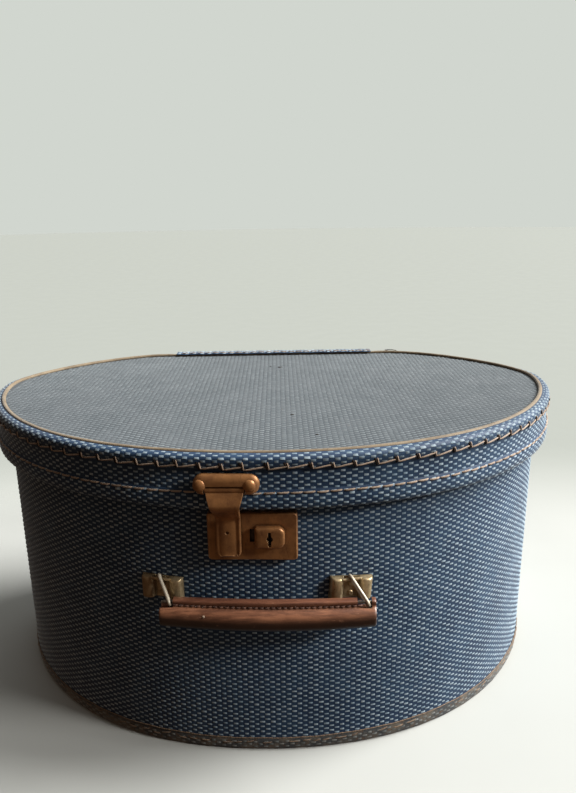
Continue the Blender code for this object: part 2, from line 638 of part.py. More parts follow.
def grip_section(swell):
    """The grip's outer section as (out, up) from the line of the pins: a flange over a fuller roll."""
    centre, radius_up = -8.4 - 0.3 * swell, 7.5 + 0.5 * swell
    points = []
    for i in range(13):
        a = math.radians(112 + 316 * i / 12)
        radius_out = (7.4 if math.cos(a) > 0 else 4.6) + 1.2 * swell
        points.append((radius_out * math.cos(a), centre + radius_up * math.sin(a)))
    top = 2.6 + 0.8 * swell
    return points + [(2.5, -0.3), (2.5, top - 0.6), (1.9, top), (-1.9, top), (-2.5, top - 0.6), (-2.5, -0.3)]


def grip(left, right, body):
    """The bowed leather grip, its steel core and the two pins across its end notches."""
    line = (right - left).normalized()
    out = Vector((line.y, -line.x, 0)).normalized()
    start, end = left - line * GRIP_END, right + line * GRIP_END
    rings = {"cover": [], "channel": [], "core": []}
    for i in range(13):
        t = i / 12
        middle = start.lerp(end, t) + out * (GRIP_BOW * math.sin(math.pi * t))
        swell = math.sin(math.pi * t) ** 0.7
        sections = {"cover": grip_section(swell)}
        for name, half_out, half_up in (("channel", 1.6, 4.0), ("core", 1.25, 3.65)):
            low, high = -9.0 - half_up, -9.0 + half_up
            sections[name] = [(-half_out, low), (half_out, low), (half_out, high), (-half_out, high)]
        for name, section in sections.items():
            rings[name].append([middle + out * a + Vector((0, 0, b)) for a, b in section])
    rings["channel"][0] = [p - line * 2 for p in rings["channel"][0]]
    rings["channel"][-1] = [p + line * 2 for p in rings["channel"][-1]]
    cover = add("grip_cover", *bridge(rings["cover"], closed=False), "grip_leather", parent=body, smooth=40)
    add("grip_core", *bridge(rings["core"], closed=False), "steel", parent=body)
    cut(cover, add("core_channel", *bridge(rings["channel"], closed=False)))
    for side, pin, inner in (("left", left, line), ("right", right, -line)):
        lean = 4.2 if side == "left" else 6.2
        cut(cover, rod(f"{side}_notch", pin - line * lean, pin + line * 3.0, 4.4, sides=12),
            rod(f"{side}_pin_hole", pin - inner * 5.3, pin + inner * 7.0, 1.3, sides=8))
        rod(f"grip_{side}_pin", pin - inner * 5.0, pin + inner * 6.5, BRIDGE_RADIUS, "steel", 10, body)


def handle(wall):
    ends = {}
    for side, x in zip(("left", "right"), BRACKET_X):
        ends[side] = bracket(side, x, wall)
    chord = (ends["right"] - ends["left"]).normalized()
    out = Vector((chord.y, -chord.x, 0)).normalized()
    pins = {}
    for side, x in zip(("left", "right"), GRIP_PIN_X):
        along = (x - ends["left"].x) / chord.x
        pins[side] = ends["left"] + chord * along + out * (GRIP_PIN_OUT - BRIDGE_OUT)
        pins[side].z = GRIP_PIN_Z
    links = pivot("handle_links", ends["left"])
    body = pivot("grip", pins["left"])
    for side in ("left", "right"):
        link(side, ends[side], pins[side], links)
    grip(pins["left"], pins["right"], body)


# ---------------------------------------------------------------- assembly

def main():
    global ROOT
    clear_scene()
    ROOT = pivot("case", (0, 0, 0))
    lid = pivot("lid", (0, WIDEST_Y + HINGE_Y, HINGE_Z))
    frame = wall_frame(LOCK_X)
    arm_body = pivot("hasp", frame @ Vector((HASP_U, -HASP_PIN[0], HASP_PIN[1])))
    key_point = frame @ Vector((sum(BUTTON_U) / 2, 0, sum(BUTTON_Z) / 2))
    slide = pivot("slide", key_point)
    key = pivot("key", key_point)

    wall = case_shell()
    skirt = lid_shell(lid)
    strip = back_strip(lid)
    hinges(wall, skirt, strip, lid)
    lock(frame, wall, slide, key)
    hasp(frame, skirt, lid, arm_body)
    handle(wall)


main()
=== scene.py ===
"""Looks for an oval hat box: woven covering, stitched lid, pressed lock and hasp, leather drop handle.

Lengths are millimetres until a mesh is made. A profile is a list of (inset from the lid's outline, height).
"""

import math

import bmesh
import bpy
import numpy as np
from mathutils import Matrix, Vector


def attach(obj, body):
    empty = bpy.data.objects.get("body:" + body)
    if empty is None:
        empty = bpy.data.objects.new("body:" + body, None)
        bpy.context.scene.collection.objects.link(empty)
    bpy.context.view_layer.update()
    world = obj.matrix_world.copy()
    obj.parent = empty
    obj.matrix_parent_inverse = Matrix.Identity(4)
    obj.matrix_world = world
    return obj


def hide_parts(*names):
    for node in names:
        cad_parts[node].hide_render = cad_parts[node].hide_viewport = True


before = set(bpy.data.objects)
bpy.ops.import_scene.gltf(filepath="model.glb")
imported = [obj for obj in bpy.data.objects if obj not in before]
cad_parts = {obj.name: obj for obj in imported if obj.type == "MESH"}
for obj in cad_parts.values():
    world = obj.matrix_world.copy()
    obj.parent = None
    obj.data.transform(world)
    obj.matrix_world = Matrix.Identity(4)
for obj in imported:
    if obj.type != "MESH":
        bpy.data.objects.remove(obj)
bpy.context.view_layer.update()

MM = 0.001
RNG = np.random.default_rng(31)
X_AXIS, Y_AXIS, Z_AXIS = np.eye(3)
WHITE = (1.0, 1.0, 1.0)

# Plan of the lid, as in the CAD part
HALF_WIDTH, FRONT_DEPTH, REAR_DEPTH, BACK_HALF = 225.0, 180.0, 108.0, 106.5
FRONT_ARMS, REAR_ARMS = (61.0, 166.0), (43.5, 45.5)
WIDEST_Y = 38.9
WALL_INSET = 9.5
TOP_Z, TOP_SAG = 218.4, 0.7    # the edge of the lid's upper face, and how far its middle sags

# Woven covering
COLUMN = 3.65                  # between neighbouring columns of dashes
ROW = 2.0                      # between neighbouring rows; each row fills every other column
DASH = (3.25, 1.65, 0.3)       # length, width, height

# Lock, on the case wall
LOCK_AT = (-20.0, -130.6963)
LOCK_ALONG = (0.998981, -0.045137)
HASP_U, HASP_Z = -8.1, 203.2
HASP_PIN = (12.2, 199.4)
BLADE_SHIFT = 0.6              # the blade lies this far right of the hinge's middle
BUTTON_U, BUTTON_Z = (8.6, 27.2), (158.4, 172.6)

# Handle: bridges on the brackets, and the grip's pins
BRIDGE_OUT, BRIDGE_Z = 4.7, 131.6
BRIDGES = {"left": (-73.62, -126.942, BRIDGE_Z), "right": (49.158, -132.187, BRIDGE_Z)}
PINS = {"left": (-67.214, -136.924, 120.9), "right": (57.786, -142.264, 120.9)}
BRACKET_X = {"left": -72.5, "right": 48.5}
BRACKET_Z = (116.5, 131.9)
BRACKET_TILT = {"left": 0.0, "right": -4.5}    # degrees
LINK_BEND, LINK_WIRE = 2.5, 1.08
GRIP_END, GRIP_BOW = 5.6, 4.0  # from a pin to the grip's end, and how far its middle stands out

# Camera, solved from the photo: angles in radians, place in metres, focal length and height in pixels
PITCH, ROLL, YAW = 0.2802, -0.0137, 0.012
CAMERA_AT = (0.0054, -0.5163, 0.3639)
FOCAL, PHOTO_HEIGHT, SENSOR = 680.06, 793, 36.0

# Room: its dark side, its window side, and the backdrop that the camera sees
DIM, BRIGHT, BACKDROP = (0.075, 0.05, 0.034), (0.66, 0.68, 0.66), (0.638, 0.672, 0.624)


# ---------------------------------------------------------------- the outline

def bezier(a, b, c, d, steps):
    t = np.linspace(0, 1, steps, endpoint=False)[:, None]
    a, b, c, d = (np.array(p, float) for p in (a, b, c, d))
    return a * (1 - t) ** 3 + 3 * b * t * (1 - t) ** 2 + 3 * c * t ** 2 * (1 - t) + d * t ** 3


def loop_lengths(points):
    """How far along a closed polyline each point lies, and its whole length."""
    return np.concatenate([[0], np.cumsum(np.linalg.norm(np.roll(points, -1, 0) - points, axis=1))])


def along_loop(values, lengths, wanted):
    """The values of a closed polyline's points at the wanted lengths."""
    loop = np.vstack([values, values[:1]])
    return np.stack([np.interp(wanted, lengths, loop[:, k]) for k in (0, 1)], 1)


def plan():
    """Points and outward normals of the lid's outline, anticlockwise from the right-hand side."""
    w, f, r, b = HALF_WIDTH, FRONT_DEPTH, REAR_DEPTH, BACK_HALF
    rear = bezier((w, 0), (w, REAR_ARMS[0]), (b + REAR_ARMS[1], r), (b, r), 300)
    front = bezier((-w, 0), (-w, -FRONT_ARMS[0]), (-FRONT_ARMS[1], -f), (0, -f), 400)
    mirror = np.array((-1, 1))
    back = np.array(((b, r), (-b, r)))
    loop = np.vstack([rear, back, (rear * mirror)[:0:-1], front, (0, -f), (front * mirror)[:0:-1]])
    lengths = loop_lengths(loop)
    points = along_loop(loop, lengths, np.linspace(0, lengths[-1], 2400, endpoint=False))
    along = np.roll(points, -2, 0) - np.roll(points, 2, 0)
    along /= np.linalg.norm(along, axis=1)[:, None]
    return points + (0, WIDEST_Y), np.stack([along[:, 1], -along[:, 0]], 1)


PLAN, NORMALS = plan()


def turns(count):
    """Evenly spaced angles round a circle."""
    return np.linspace(0, 2 * np.pi, count, False)


class Outline:
    """The plan moved inwards, addressed by arc length from the right-hand side."""

    def __init__(self, inset):
        self.points = PLAN - NORMALS * inset
        self.lengths = loop_lengths(self.points)
        self.total = self.lengths[-1]

    def at(self, s):
        """Points and outward normals at these arc lengths."""
        s = np.mod(s, self.total)
        points, normals = (along_loop(values, self.lengths, s) for values in (self.points, NORMALS))
        return points, normals / np.linalg.norm(normals, axis=1)[:, None]

    def lifted(self, s, lift, z):
        """The point at one arc length, lifted off the outline, at height z."""
        (point,), (normal,) = self.at(np.array([s]))
        return (*(point + normal * lift), z)


class Plane:
    """A frame that stands on the case wall: u along it, out away from it, z up."""

    def __init__(self, at, along):
        self.at, self.along = np.array(at, float), np.array(along, float)
        self.out = np.array((self.along[1], -self.along[0]))

    def point(self, u, out, z):
        p = self.at + self.along * u + self.out * out
        return (p[0], p[1], z)

    def ring(self, points, out):
        """Points (u, z) at this height above the wall."""
        return [self.point(u, out, z) for u, z in points]

    def circle(self, u, z, radius, out, count):
        return self.ring([(u + radius * math.cos(a), z + radius * math.sin(a)) for a in turns(count)], out)

    def surface(self, u, inset):
        """How far out the surface at this inset lies at u."""
        near = Outline(inset).points - self.at
        us, outs = near @ self.along, near @ self.out
        front = (np.abs(us) < 60) & (outs > -40)
        order = np.argsort(us[front])
        return float(np.interp(u, us[front][order], outs[front][order]))


LOCK = Plane(LOCK_AT, LOCK_ALONG)


def wall_plane(x):
    """The plane on the case wall at x."""
    points = Outline(WALL_INSET).points
    front = points[points[:, 1] < WIDEST_Y]
    front = front[np.argsort(front[:, 0])]
    y0, y, y1 = np.interp((x - 4, x, x + 4), front[:, 0], front[:, 1])
    slope = Vector((8.0, y1 - y0)).normalized()
    return Plane((x, y), slope)


# ---------------------------------------------------------------- mesh helpers

class Shape:
    """The vertices and faces of one piece."""

    def __init__(self):
        self.points, self.faces = [], []

    def add(self, points, faces):
        base = len(self.points)
        self.points += [tuple(float(c) for c in p) for p in points]
        self.faces += [tuple(base + i for i in face) for face in faces]

    def loft(self, rings, closed=False, caps=True):
        """Quads between successive rings of equal length."""
        count, faces = len(rings[0]), []
        for r in range(len(rings) if closed else len(rings) - 1):
            a, b = r * count, ((r + 1) % len(rings)) * count
            faces += [(a + i, a + (i + 1) % count, b + (i + 1) % count, b + i) for i in range(count)]
        if caps and not closed:
            faces.append(tuple(reversed(range(count))))
            faces.append(tuple(range((len(rings) - 1) * count, len(rings) * count)))
        self.add([p for ring in rings for p in ring], faces)

    def tube(self, path, radii, sides=8, closed=False):
        """Round wire or thread along a path; radii is one number or one for each point."""
        path = [Vector(p) for p in path]
        radii = [radii] * len(path) if isinstance(radii, (int, float)) else radii
        rings, side = [], None
        for i, p in enumerate(path):
            before = path[i - 1] if i or closed else p
            after = path[(i + 1) % len(path)] if i < len(path) - 1 or closed else p
            along = (after - before).normalized()
            if side is None:
                side = along.orthogonal().normalized()
            side = (side - along * side.dot(along)).normalized()
            other = along.cross(side)
            rings.append([p + (side * math.cos(a) + other * math.sin(a)) * radii[i]
                          for a in (2 * math.pi * k / sides for k in range(sides))])
        self.loft(rings, closed)

    def cube(self, corners):
        """A box from its eight corners, as lock_box gives them."""
        sides = [(i, (i + 1) % 4, 4 + (i + 1) % 4, 4 + i) for i in range(4)]
        self.add(corners, [(3, 2, 1, 0), (4, 5, 6, 7)] + sides)


def link(name, data):
    """A new object in the scene."""
    thing = bpy.data.objects.new(name, data)
    bpy.context.scene.collection.objects.link(thing)
    return thing


def lofted(rings):
    shape = Shape()
    shape.loft(rings)
    return shape


def make(name, shape, look=None, smooth=40.0, tidy_normals=True):
    """An object; smooth is the angle in degrees over which an edge stays sharp."""
    mesh = bpy.data.meshes.new(name)
    mesh.from_pydata((np.array(shape.points) * MM).tolist(), [], shape.faces)
    if tidy_normals:
        work = bmesh.new()
        work.from_mesh(mesh)
        bmesh.ops.recalc_face_normals(work, faces=work.faces)
        work.to_mesh(mesh)
        work.free()
    mesh.shade_smooth()
    mesh.set_sharp_from_angle(angle=math.radians(smooth))
    if look:
        mesh.materials.append(look)
    return link(name, mesh)


def fit(thing, body, slot, *nodes):
    """Hangs a piece on its body and hides the CAD nodes it stands for; slot is not used."""
    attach(thing, body)
    if nodes:
        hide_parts(*nodes)
    return thing


def carve(thing, *shapes, smooth=35.0):
    """Cuts the shapes out of a piece."""
    cutters = [make("cutter", shape) for shape in shapes]
    for cutter in cutters:
        change = thing.modifiers.new("cut", "BOOLEAN")
        change.operation, change.solver, change.object = "DIFFERENCE", "EXACT", cutter
    evaluated = thing.evaluated_get(bpy.context.evaluated_depsgraph_get())
    mesh = bpy.data.meshes.new_from_object(evaluated)
    thing.modifiers.clear()
    thing.data = mesh
    for cutter in cutters:
        bpy.data.objects.remove(cutter)
    mesh.shade_smooth()
    mesh.set_sharp_from_angle(angle=math.radians(smooth))
    return thing


def rounded(half_u, half_z, radius, centre, steps=10):
    """A rectangle with rounded corners, as (u, z); radius is one number, or the left's and the right's."""
    left, right = radius if isinstance(radius, tuple) else (radius, radius)
    points = []
    for su, sz, begin in ((-1, -1, 180), (1, -1, 270), (1, 1, 0), (-1, 1, 90)):
        r = left if su < 0 else right
        for k in range(steps + 1):
            a = math.radians(begin + 90.0 * k / steps)
            points.append((centre[0] + su * (half_u - r) + r * math.cos(a),
                           centre[1] + sz * (half_z - r) + r * math.sin(a)))
    return points


def wobble(t, seed, size):
    """A slow irregular wave round the box, for hand-made edges; t runs from 0 to 1."""
    waves = ((7, 0.5), (17, 0.3), (41, 0.25), (83, 0.15))
    return size * sum(k * math.sin(2 * math.pi * (n * t) + seed * n) for n, k in waves)


def around(inset, count):
    """Points on the plan, moved inwards."""
    picks = np.linspace(0, len(PLAN), count, endpoint=False).astype(int)
    return PLAN[picks] - NORMALS[picks] * inset


def band(profile, count=720, wave=0.0, seed=1.0, height=None):
    """A closed ring round the box from a closed profile; wave is how unevenly it is laid."""
    shape, rings = Shape(), []
    for inset, z in profile:
        points = around(inset, count)
        lifted = [(x, y, z + wobble(i / count, seed, wave)) for i, (x, y) in enumerate(points)]
        rings.append([(x, y, height(x, y, up)) for x, y, up in lifted] if height else lifted)
    shape.loft(rings, closed=True)
    return shape


def disc(inset, low, high, sag=0.0, rings=12, count=240):
    """A board that fills the outline; its upper face sags by sag in the middle."""
    edge = around(inset, count)
    centre = np.array((0.0, 0.5 * (edge[:, 1].min() + edge[:, 1].max())))
    levels = [(1 - k / rings, high - sag * math.cos(0.5 * math.pi * (1 - k / rings))) for k in range(rings)]
    loops = [[(*(centre + (edge[i] - centre) * 0.02), low) for i in range(count)]]
    loops += [[(*p, low) for p in edge]]
    loops += [[(*(centre + (p - centre) * scale), z) for p in edge] for scale, z in levels]
    return lofted(loops)


# ---------------------------------------------------------------- covering, stitches

def dashes(shape, centres, along, across, out):
    """Raised dashes, each a small hipped cushion."""
    def uneven(size):
        return size * RNG.standard_normal(len(centres)).clip(-2, 2)[:, None]

    length, width, height = DASH
    half = 0.5 * length * (1 + uneven(0.09))
    wide = 0.5 * width * (1 + uneven(0.07))
    high = height * (1 + uneven(0.15))
    centres = centres + across * uneven(0.05)
    corners = [centres - 0.1 * out + along * (half * a) + across * (wide * b)
               for a, b in ((-1, -1), (1, -1), (1, 1), (-1, 1))]
    ridge = [centres + out * high + along * ((half - 0.6) * a) for a in (-1, 1)]
    points = np.stack(corners + ridge, 1).reshape(-1, 3)
    cell = ((0, 3, 2, 1), (0, 1, 5, 4), (2, 3, 4, 5), (1, 2, 5), (3, 0, 4))
    shape.add(points, [tuple(6 * i + k for k in face) for i in range(len(centres)) for face in cell])


def flat_dashes(shape, centres, along, across, out):
    """Dashes on a flat face, all laid the same way."""
    dashes(shape, np.array(centres, float), *(np.tile(d, (len(centres), 1)) for d in (along, across, out)))


def weave_band(shape, path, start):
    """Rows of dashes on a band, along a profile path that climbs from its foot."""
    path = np.array(path, float)
    steps = np.linalg.norm(np.diff(path, axis=0), axis=1)
    length = np.concatenate([[0], np.cumsum(steps)])
    outline = Outline(float(path[:, 0].mean()))
    columns = 2 * round(outline.total / (2 * COLUMN))
    for row, distance in enumerate(np.arange(start + 0.5 * ROW, length[-1] - 0.4, ROW)):
        inset = np.interp(distance, length, path[:, 0])
        z = np.interp(distance, length, path[:, 1])
        piece = min(int(np.searchsorted(length, distance)) - 1, len(steps) - 1)
        inwards, upwards = (path[piece + 1] - path[piece]) / steps[piece]
        s = (2 * np.arange(columns // 2) + row % 2) * outline.total / columns
        points, normals = outline.at(s)
        points = points - normals * (inset - path[:, 0].mean())
        along = np.column_stack([-normals[:, 1], normals[:, 0], np.zeros(len(s))])
        across = np.column_stack([-normals * inwards, np.full(len(s), upwards)])
        out = np.column_stack([normals * upwards, np.full(len(s), inwards)])
        dashes(shape, np.column_stack([points, np.full(len(s), z)]), along, across, out)


def weave_top(shape, inset, height):
    """Columns of dashes that run front to back on a flat panel; height gives z from an array of points."""
    edge = Outline(inset).points
    middle = float(edge[:, 1].mean())
    parts = []
    for sign in (-1, 1):
        half = edge[(edge[:, 1] - middle) * sign > 0]
        parts.append(half[np.argsort(half[:, 0])])
    for column, x in enumerate(np.arange(edge[:, 0].min() + 1.5, edge[:, 0].max() - 1.5, COLUMN)):
        low = np.interp(x, parts[0][:, 0], parts[0][:, 1]) + 0.9
        high = np.interp(x, parts[1][:, 0], parts[1][:, 1]) - 0.9
        first = math.ceil(low / (2 * ROW)) * 2 * ROW + (column % 2) * ROW
        points = np.array([(x, y) for y in np.arange(first, high, 2 * ROW)])
        if len(points):
            flat_dashes(shape, np.column_stack([points, height(points)]), X_AXIS, Y_AXIS, Z_AXIS)


def thread(shape, outline, start, end, radius, sides=8, steps=7):
    """One stitch from start to end, each (arc length, height, lift); its ends dive into the covering."""
    path, radii = [], []
    for k in range(steps):
        t = k / (steps - 1)
        s, z = start[0] + (end[0] - start[0]) * t, start[1] + (end[1] - start[1]) * t
        rise = min(1.0, math.sin(math.pi * t) * 1.8)
        lift = (start[2] + (end[2] - start[2]) * t) * rise - 0.55 * radius * (1 - rise)
        path.append(outline.lifted(s, lift, z))
        radii.append(radius * (0.62 + 0.38 * rise))
    shape.tube(path, radii, sides)


def jitter(size):
    return size * float(RNG.standard_normal())


def running_stitches(z, inset, pitch, dash, radius, tilt=0.3):
    """A row of long machine stitches round the lid."""
    shape, outline = Shape(), Outline(inset)
    count = round(outline.total / pitch)
    for k in range(count):
        s = k * outline.total / count + jitter(0.25)
        dz = jitter(0.16)
        thread(shape, outline, (s, z - tilt / 2 + dz, 0.35), (s + dash, z + tilt / 2 + dz, 0.4), radius)
    return shape


def saw_stitches(foot, inset, pitch, rise, leg, radius):
    """Hand stitches in a saw tooth: a short leg, then a long thread that climbs towards the next one; beside
    each leg lies a near-black sliver, painted as its shadow.
    """
    threads, shadow_slivers, outline = Shape(), Shape(), Outline(inset)
    count = round(outline.total / pitch)
    step = outline.total / count
    for k in range(count):
        s = k * step + jitter(0.5)
        z = foot + jitter(0.3)
        top = z + leg * (1 + jitter(0.12))
        thread(threads, outline, (s - 0.9, top, 0.25), (s + 0.1, z, 0.45), radius * 0.95)
        thread(threads, outline, (s + 0.1, z + 0.1, 0.45), (s + step - 1.0, z + rise, 0.4), radius)
        # a near-black sliver left of each leg: painted shadow of the leg on the puckered covering
        thread(shadow_slivers, outline, (s - 2.5, top + 0.5, 0.2), (s - 1.1, z - 0.4, 0.2), 0.6, 6, 5)
    return threads, shadow_slivers


def worn_stitches(middle, inset):
    """What is left of the hand stitches round the base: uneven, tilted, some of them gone."""
    shape, outline, s = Shape(), Outline(inset), 0.0
    while s < outline.total - 8.0:
        length = 4.5 + 4.0 * float(RNG.random())
        z = middle + float(np.clip(jitter(0.5), -1.2, 1.2))
        rise = float(np.clip(0.7 + jitter(0.7), -1.0, 2.0))
        if RNG.random() > 0.2:
            radius = 0.32 + 0.14 * float(RNG.random())
            thread(shape, outline, (s, z, 0.2), (s + length, z + rise, 0.25), radius)
        s += length + 1.0 + 6.0 * float(RNG.random())
    return shape


# ---------------------------------------------------------------- materials

class Nodes:
    """Nodes in the tree of a material or a world."""

    def __init__(self, owner):
        owner.use_nodes = True
        self.owner, self.tree = owner, owner.node_tree

    def feed(self, value, target):
        """Links a socket, or sets a constant."""
        if isinstance(value, bpy.types.NodeSocket):
            self.tree.links.new(value, target)
        else:
            target.default_value = (*value, 1.0) if target.type == "RGBA" else value

    def node(self, kind, inputs, **settings):
        """A new node; each input is a constant or the socket that feeds it."""
        made = self.tree.nodes.new(kind)
        for key, value in settings.items():
            setattr(made, key, value)
        for key, value in inputs.items():
            self.feed(value, made.inputs[key])
        return made

    def given(self, kind, output):
        """What a node with no inputs gives."""
        return self.node(kind, {}).outputs[output]

    def vector(self, operation, a, b, output="Vector"):
        return self.node("ShaderNodeVectorMath", {0: a, 1: b}, operation=operation).outputs[output]

    def ramp(self, value, low, high, to_low=0.0, to_high=1.0):
        inputs = {"Value": value, "From Min": low, "From Max": high, "To Min": to_low, "To Max": to_high}
        return self.node("ShaderNodeMapRange", inputs, interpolation_type="SMOOTHSTEP").outputs["Result"]

    def mix(self, factor, a, b):
        return self.node("ShaderNodeMix", {0: factor, 6: a, 7: b}, data_type="RGBA").outputs[2]


class Look(Nodes):
    """A material whose colour is laid on coat by coat. Coordinates are the object's own, in millimetres."""

    SOCKETS = ("Specular IOR Level", "Metallic", "Coat Weight", "Coat Roughness", "Sheen Weight",
               "Sheen Roughness", "Sheen Tint")

    def __init__(self, name, ground, specular, metal=0.0, coat=(0.0, 0.03), sheen=(0.0, 0.5), tint=WHITE):
        super().__init__(bpy.data.materials.new(name))
        self.shader = self.tree.nodes["Principled BSDF"]
        for socket, value in zip(self.SOCKETS, (specular, metal, *coat, *sheen, tint)):
            self.feed(value, self.shader.inputs[socket])
        inputs = {0: self.given("ShaderNodeTexCoord", "Object"), "Scale": 1.0 / MM}
        self.place = self.node("ShaderNodeVectorMath", inputs, operation="SCALE").outputs[0]
        self.tone = ground

    def squeezed(self, stretch):
        """The coordinates, multiplied by stretch if there is one."""
        return self.vector("MULTIPLY", self.place, stretch) if stretch else self.place

    def noise(self, scale, detail=3.0, roughness=0.55, stretch=None):
        """Noise with a scale in cycles per millimetre."""
        inputs = {"Vector": self.squeezed(stretch), "Scale": scale, "Detail": detail, "Roughness": roughness}
        return self.node("ShaderNodeTexNoise", inputs).outputs["Fac"]

    def cells(self, scale, stretch):
        inputs = {"Vector": self.squeezed(stretch), "Scale": scale}
        return self.node("ShaderNodeTexVoronoi", inputs, feature="F1").outputs["Distance"]

    def math(self, operation, a, b):
        return self.node("ShaderNodeMath", {0: a, 1: b}, operation=operation).outputs[0]

    def times(self, a, b):
        return self.math("MULTIPLY", a, b)

    def plus(self, a, b):
        return self.math("ADD", a, b)

    def axis(self, index, source=None):
        """One coordinate in millimetres, or one part of another vector."""
        return self.node("ShaderNodeSeparateXYZ", {0: source or self.place}).outputs[index]

    def random(self):
        """A number for each separate island of the mesh."""
        return self.given("ShaderNodeNewGeometry", "Random Per Island")

    def bevelled(self, radius):
        """The normal with edges rounded by this radius, in millimetres."""
        return self.node("ShaderNodeBevel", {"Radius": radius * MM}, samples=6).outputs[0]

    def edges(self, radius):
        """Where the surface turns within this radius, in millimetres: 1 on edges, 0 on flats."""
        normal = self.given("ShaderNodeNewGeometry", "Normal")
        same = self.vector("DOT_PRODUCT", self.bevelled(radius), normal, "Value")
        return self.ramp(self.math("SUBTRACT", 1.0, same), 0.02, 0.22)

    def mask(self, colour, factor):
        """Lays a colour on by this factor."""
        self.tone = self.mix(factor, self.tone, colour)

    def coat(self, colour, value, low, high, amount=1.0):
        """Lays a colour on where value is high, up to this amount."""
        self.mask(colour, self.ramp(value, low, high, 0.0, amount))

    def dirt_and_corner_shade(self, colour, distance, low, high, amount):
        """Lays a colour into corners that are within this distance of another surface, in millimetres:
        painted corner shade, standing in part for dirt in the crevices.
        """
        made = self.node("ShaderNodeAmbientOcclusion", {"Distance": distance * MM}, samples=6)
        self.mask(colour, self.ramp(made.outputs["AO"], low, high, amount, 0.0))

    def finish(self, worn, shiny, dull, height=None, strength=0.0, distance=0.0, soften=None):
        """Joins up the colour, a roughness that follows worn, and bumps of this height in millimetres."""
        self.feed(self.tone, self.shader.inputs["Base Color"])
        self.feed(self.ramp(worn, 0.3, 0.7, shiny, dull), self.shader.inputs["Roughness"])
        if height:
            inputs = {"Strength": strength, "Distance": distance * MM, "Height": height}
            if soften:
                inputs["Normal"] = self.bevelled(soften)
            self.feed(self.node("ShaderNodeBump", inputs).outputs[0], self.shader.inputs["Normal"])
        return self.owner


def shade(colour, share):
    return tuple(share * c for c in colour)


def covering_look(name, dark, pale, shine):
    """Navy paper-backed cloth, between the dashes."""
    look = Look(name, dark, shine, sheen=(0.5 * shine, 0.35), tint=(1.0, 0.97, 0.93))
    look.coat(pale, look.noise(0.035), 0.35, 0.68)
    grain = look.noise(1.7, 4.0)
    look.coat(shade(dark, 0.5), grain, 0.4, 0.75, 0.5)
    rubbed = look.times(look.ramp(look.noise(0.11, 5.0, 0.7), 0.6, 0.78), look.ramp(grain, 0.35, 0.6))
    look.mask((0.1, 0.085, 0.07), look.times(rubbed, 0.4))
    return look.finish(grain, 0.5, 0.72, look.plus(grain, look.times(look.noise(4.5, 2.0), 0.5)), 0.5, 0.12)


def dash_look(name, dark, pale, grime=0.3, shine=0.25):
    """Pale blue-grey dashes, each a little different."""
    look = Look(name, dark, shine, sheen=(shine, 0.35), tint=(1.0, 0.98, 0.94))
    look.coat(pale, look.random(), 0.0, 1.0)
    look.coat(shade(dark, 0.7), look.noise(0.045, 4.0, 0.65), 0.42, 0.72, grime)
    look.coat((0.2, 0.13, 0.08), look.noise(0.3, 3.0, 0.6), 0.66, 0.78, 0.55)
    fibre = look.noise(3.2, 3.0, 0.6, (0.35, 0.35, 1.6))
    look.coat(shade(dark, 0.6), fibre, 0.35, 0.7, 0.3)
    return look.finish(fibre, 0.5, 0.7, fibre, 0.35, 0.08)


def worn_look():
    """The same cloth on the base edge, rubbed grey and brown."""
    look = Look("worn_covering", (0.055, 0.062, 0.068), 0.3, sheen=(0.15, 0.5))
    look.coat((0.15, 0.13, 0.105), look.noise(0.09, 4.0), 0.4, 0.62)
    look.coat((0.15, 0.078, 0.035), look.noise(0.35, 4.0, 0.7), 0.52, 0.68, 0.8)
    grain = look.noise(1.9, 4.0)
    look.coat((0.025, 0.024, 0.024), grain, 0.45, 0.75, 0.5)
    return look.finish(grain, 0.6, 0.8, look.plus(grain, look.noise(0.5, 4.0)), 0.6, 0.3)


def thread_look(name, pale, dark):
    """Waxed linen thread."""
    look = Look(name, pale, 0.35, sheen=(0.3, 0.5))
    strands = look.noise(2.6, 3.0, 0.6, (1.0, 1.0, 2.4))
    look.coat(dark, look.random(), 0.0, 1.0, 0.75)
    look.coat(dark, look.noise(0.12, 3.0), 0.5, 0.7, 0.5)
    look.coat(shade(dark, 0.4), strands, 0.45, 0.7, 0.6)
    return look.finish(strands, 0.5, 0.7, strands, 0.7, 0.2)


def welt_look():
    """Tan cord round the top."""
    look = Look("welt_cord", (0.23, 0.175, 0.11), 0.35, sheen=(0.2, 0.5))
    look.coat((0.15, 0.108, 0.064), look.noise(0.06, 5.0, 0.65), 0.38, 0.66)
    look.coat((0.1, 0.06, 0.035), look.noise(0.5, 4.0, 0.7), 0.55, 0.72, 0.75)
    strands = look.noise(1.6, 3.0, 0.6, (1.4, 1.4, 3.0))
    look.coat((0.14, 0.085, 0.045), strands, 0.45, 0.7, 0.4)
    return look.finish(strands, 0.5, 0.72, strands, 0.6, 0.25)


def shadow_and_speck_look():
    """Near-black: painted shadow beside each stitch leg on the lid's edge, and the dark worn specks on the
    top.
    """
    look = Look("painted_stitch_shadows_and_specks", (0.008, 0.006, 0.006), 0.15)
    look.mask((0.035, 0.022, 0.015), look.noise(1.2, 3.0))
    return look.finish(look.noise(2.0), 0.75, 0.95, look.noise(2.4, 3.0), 0.5, 0.15)


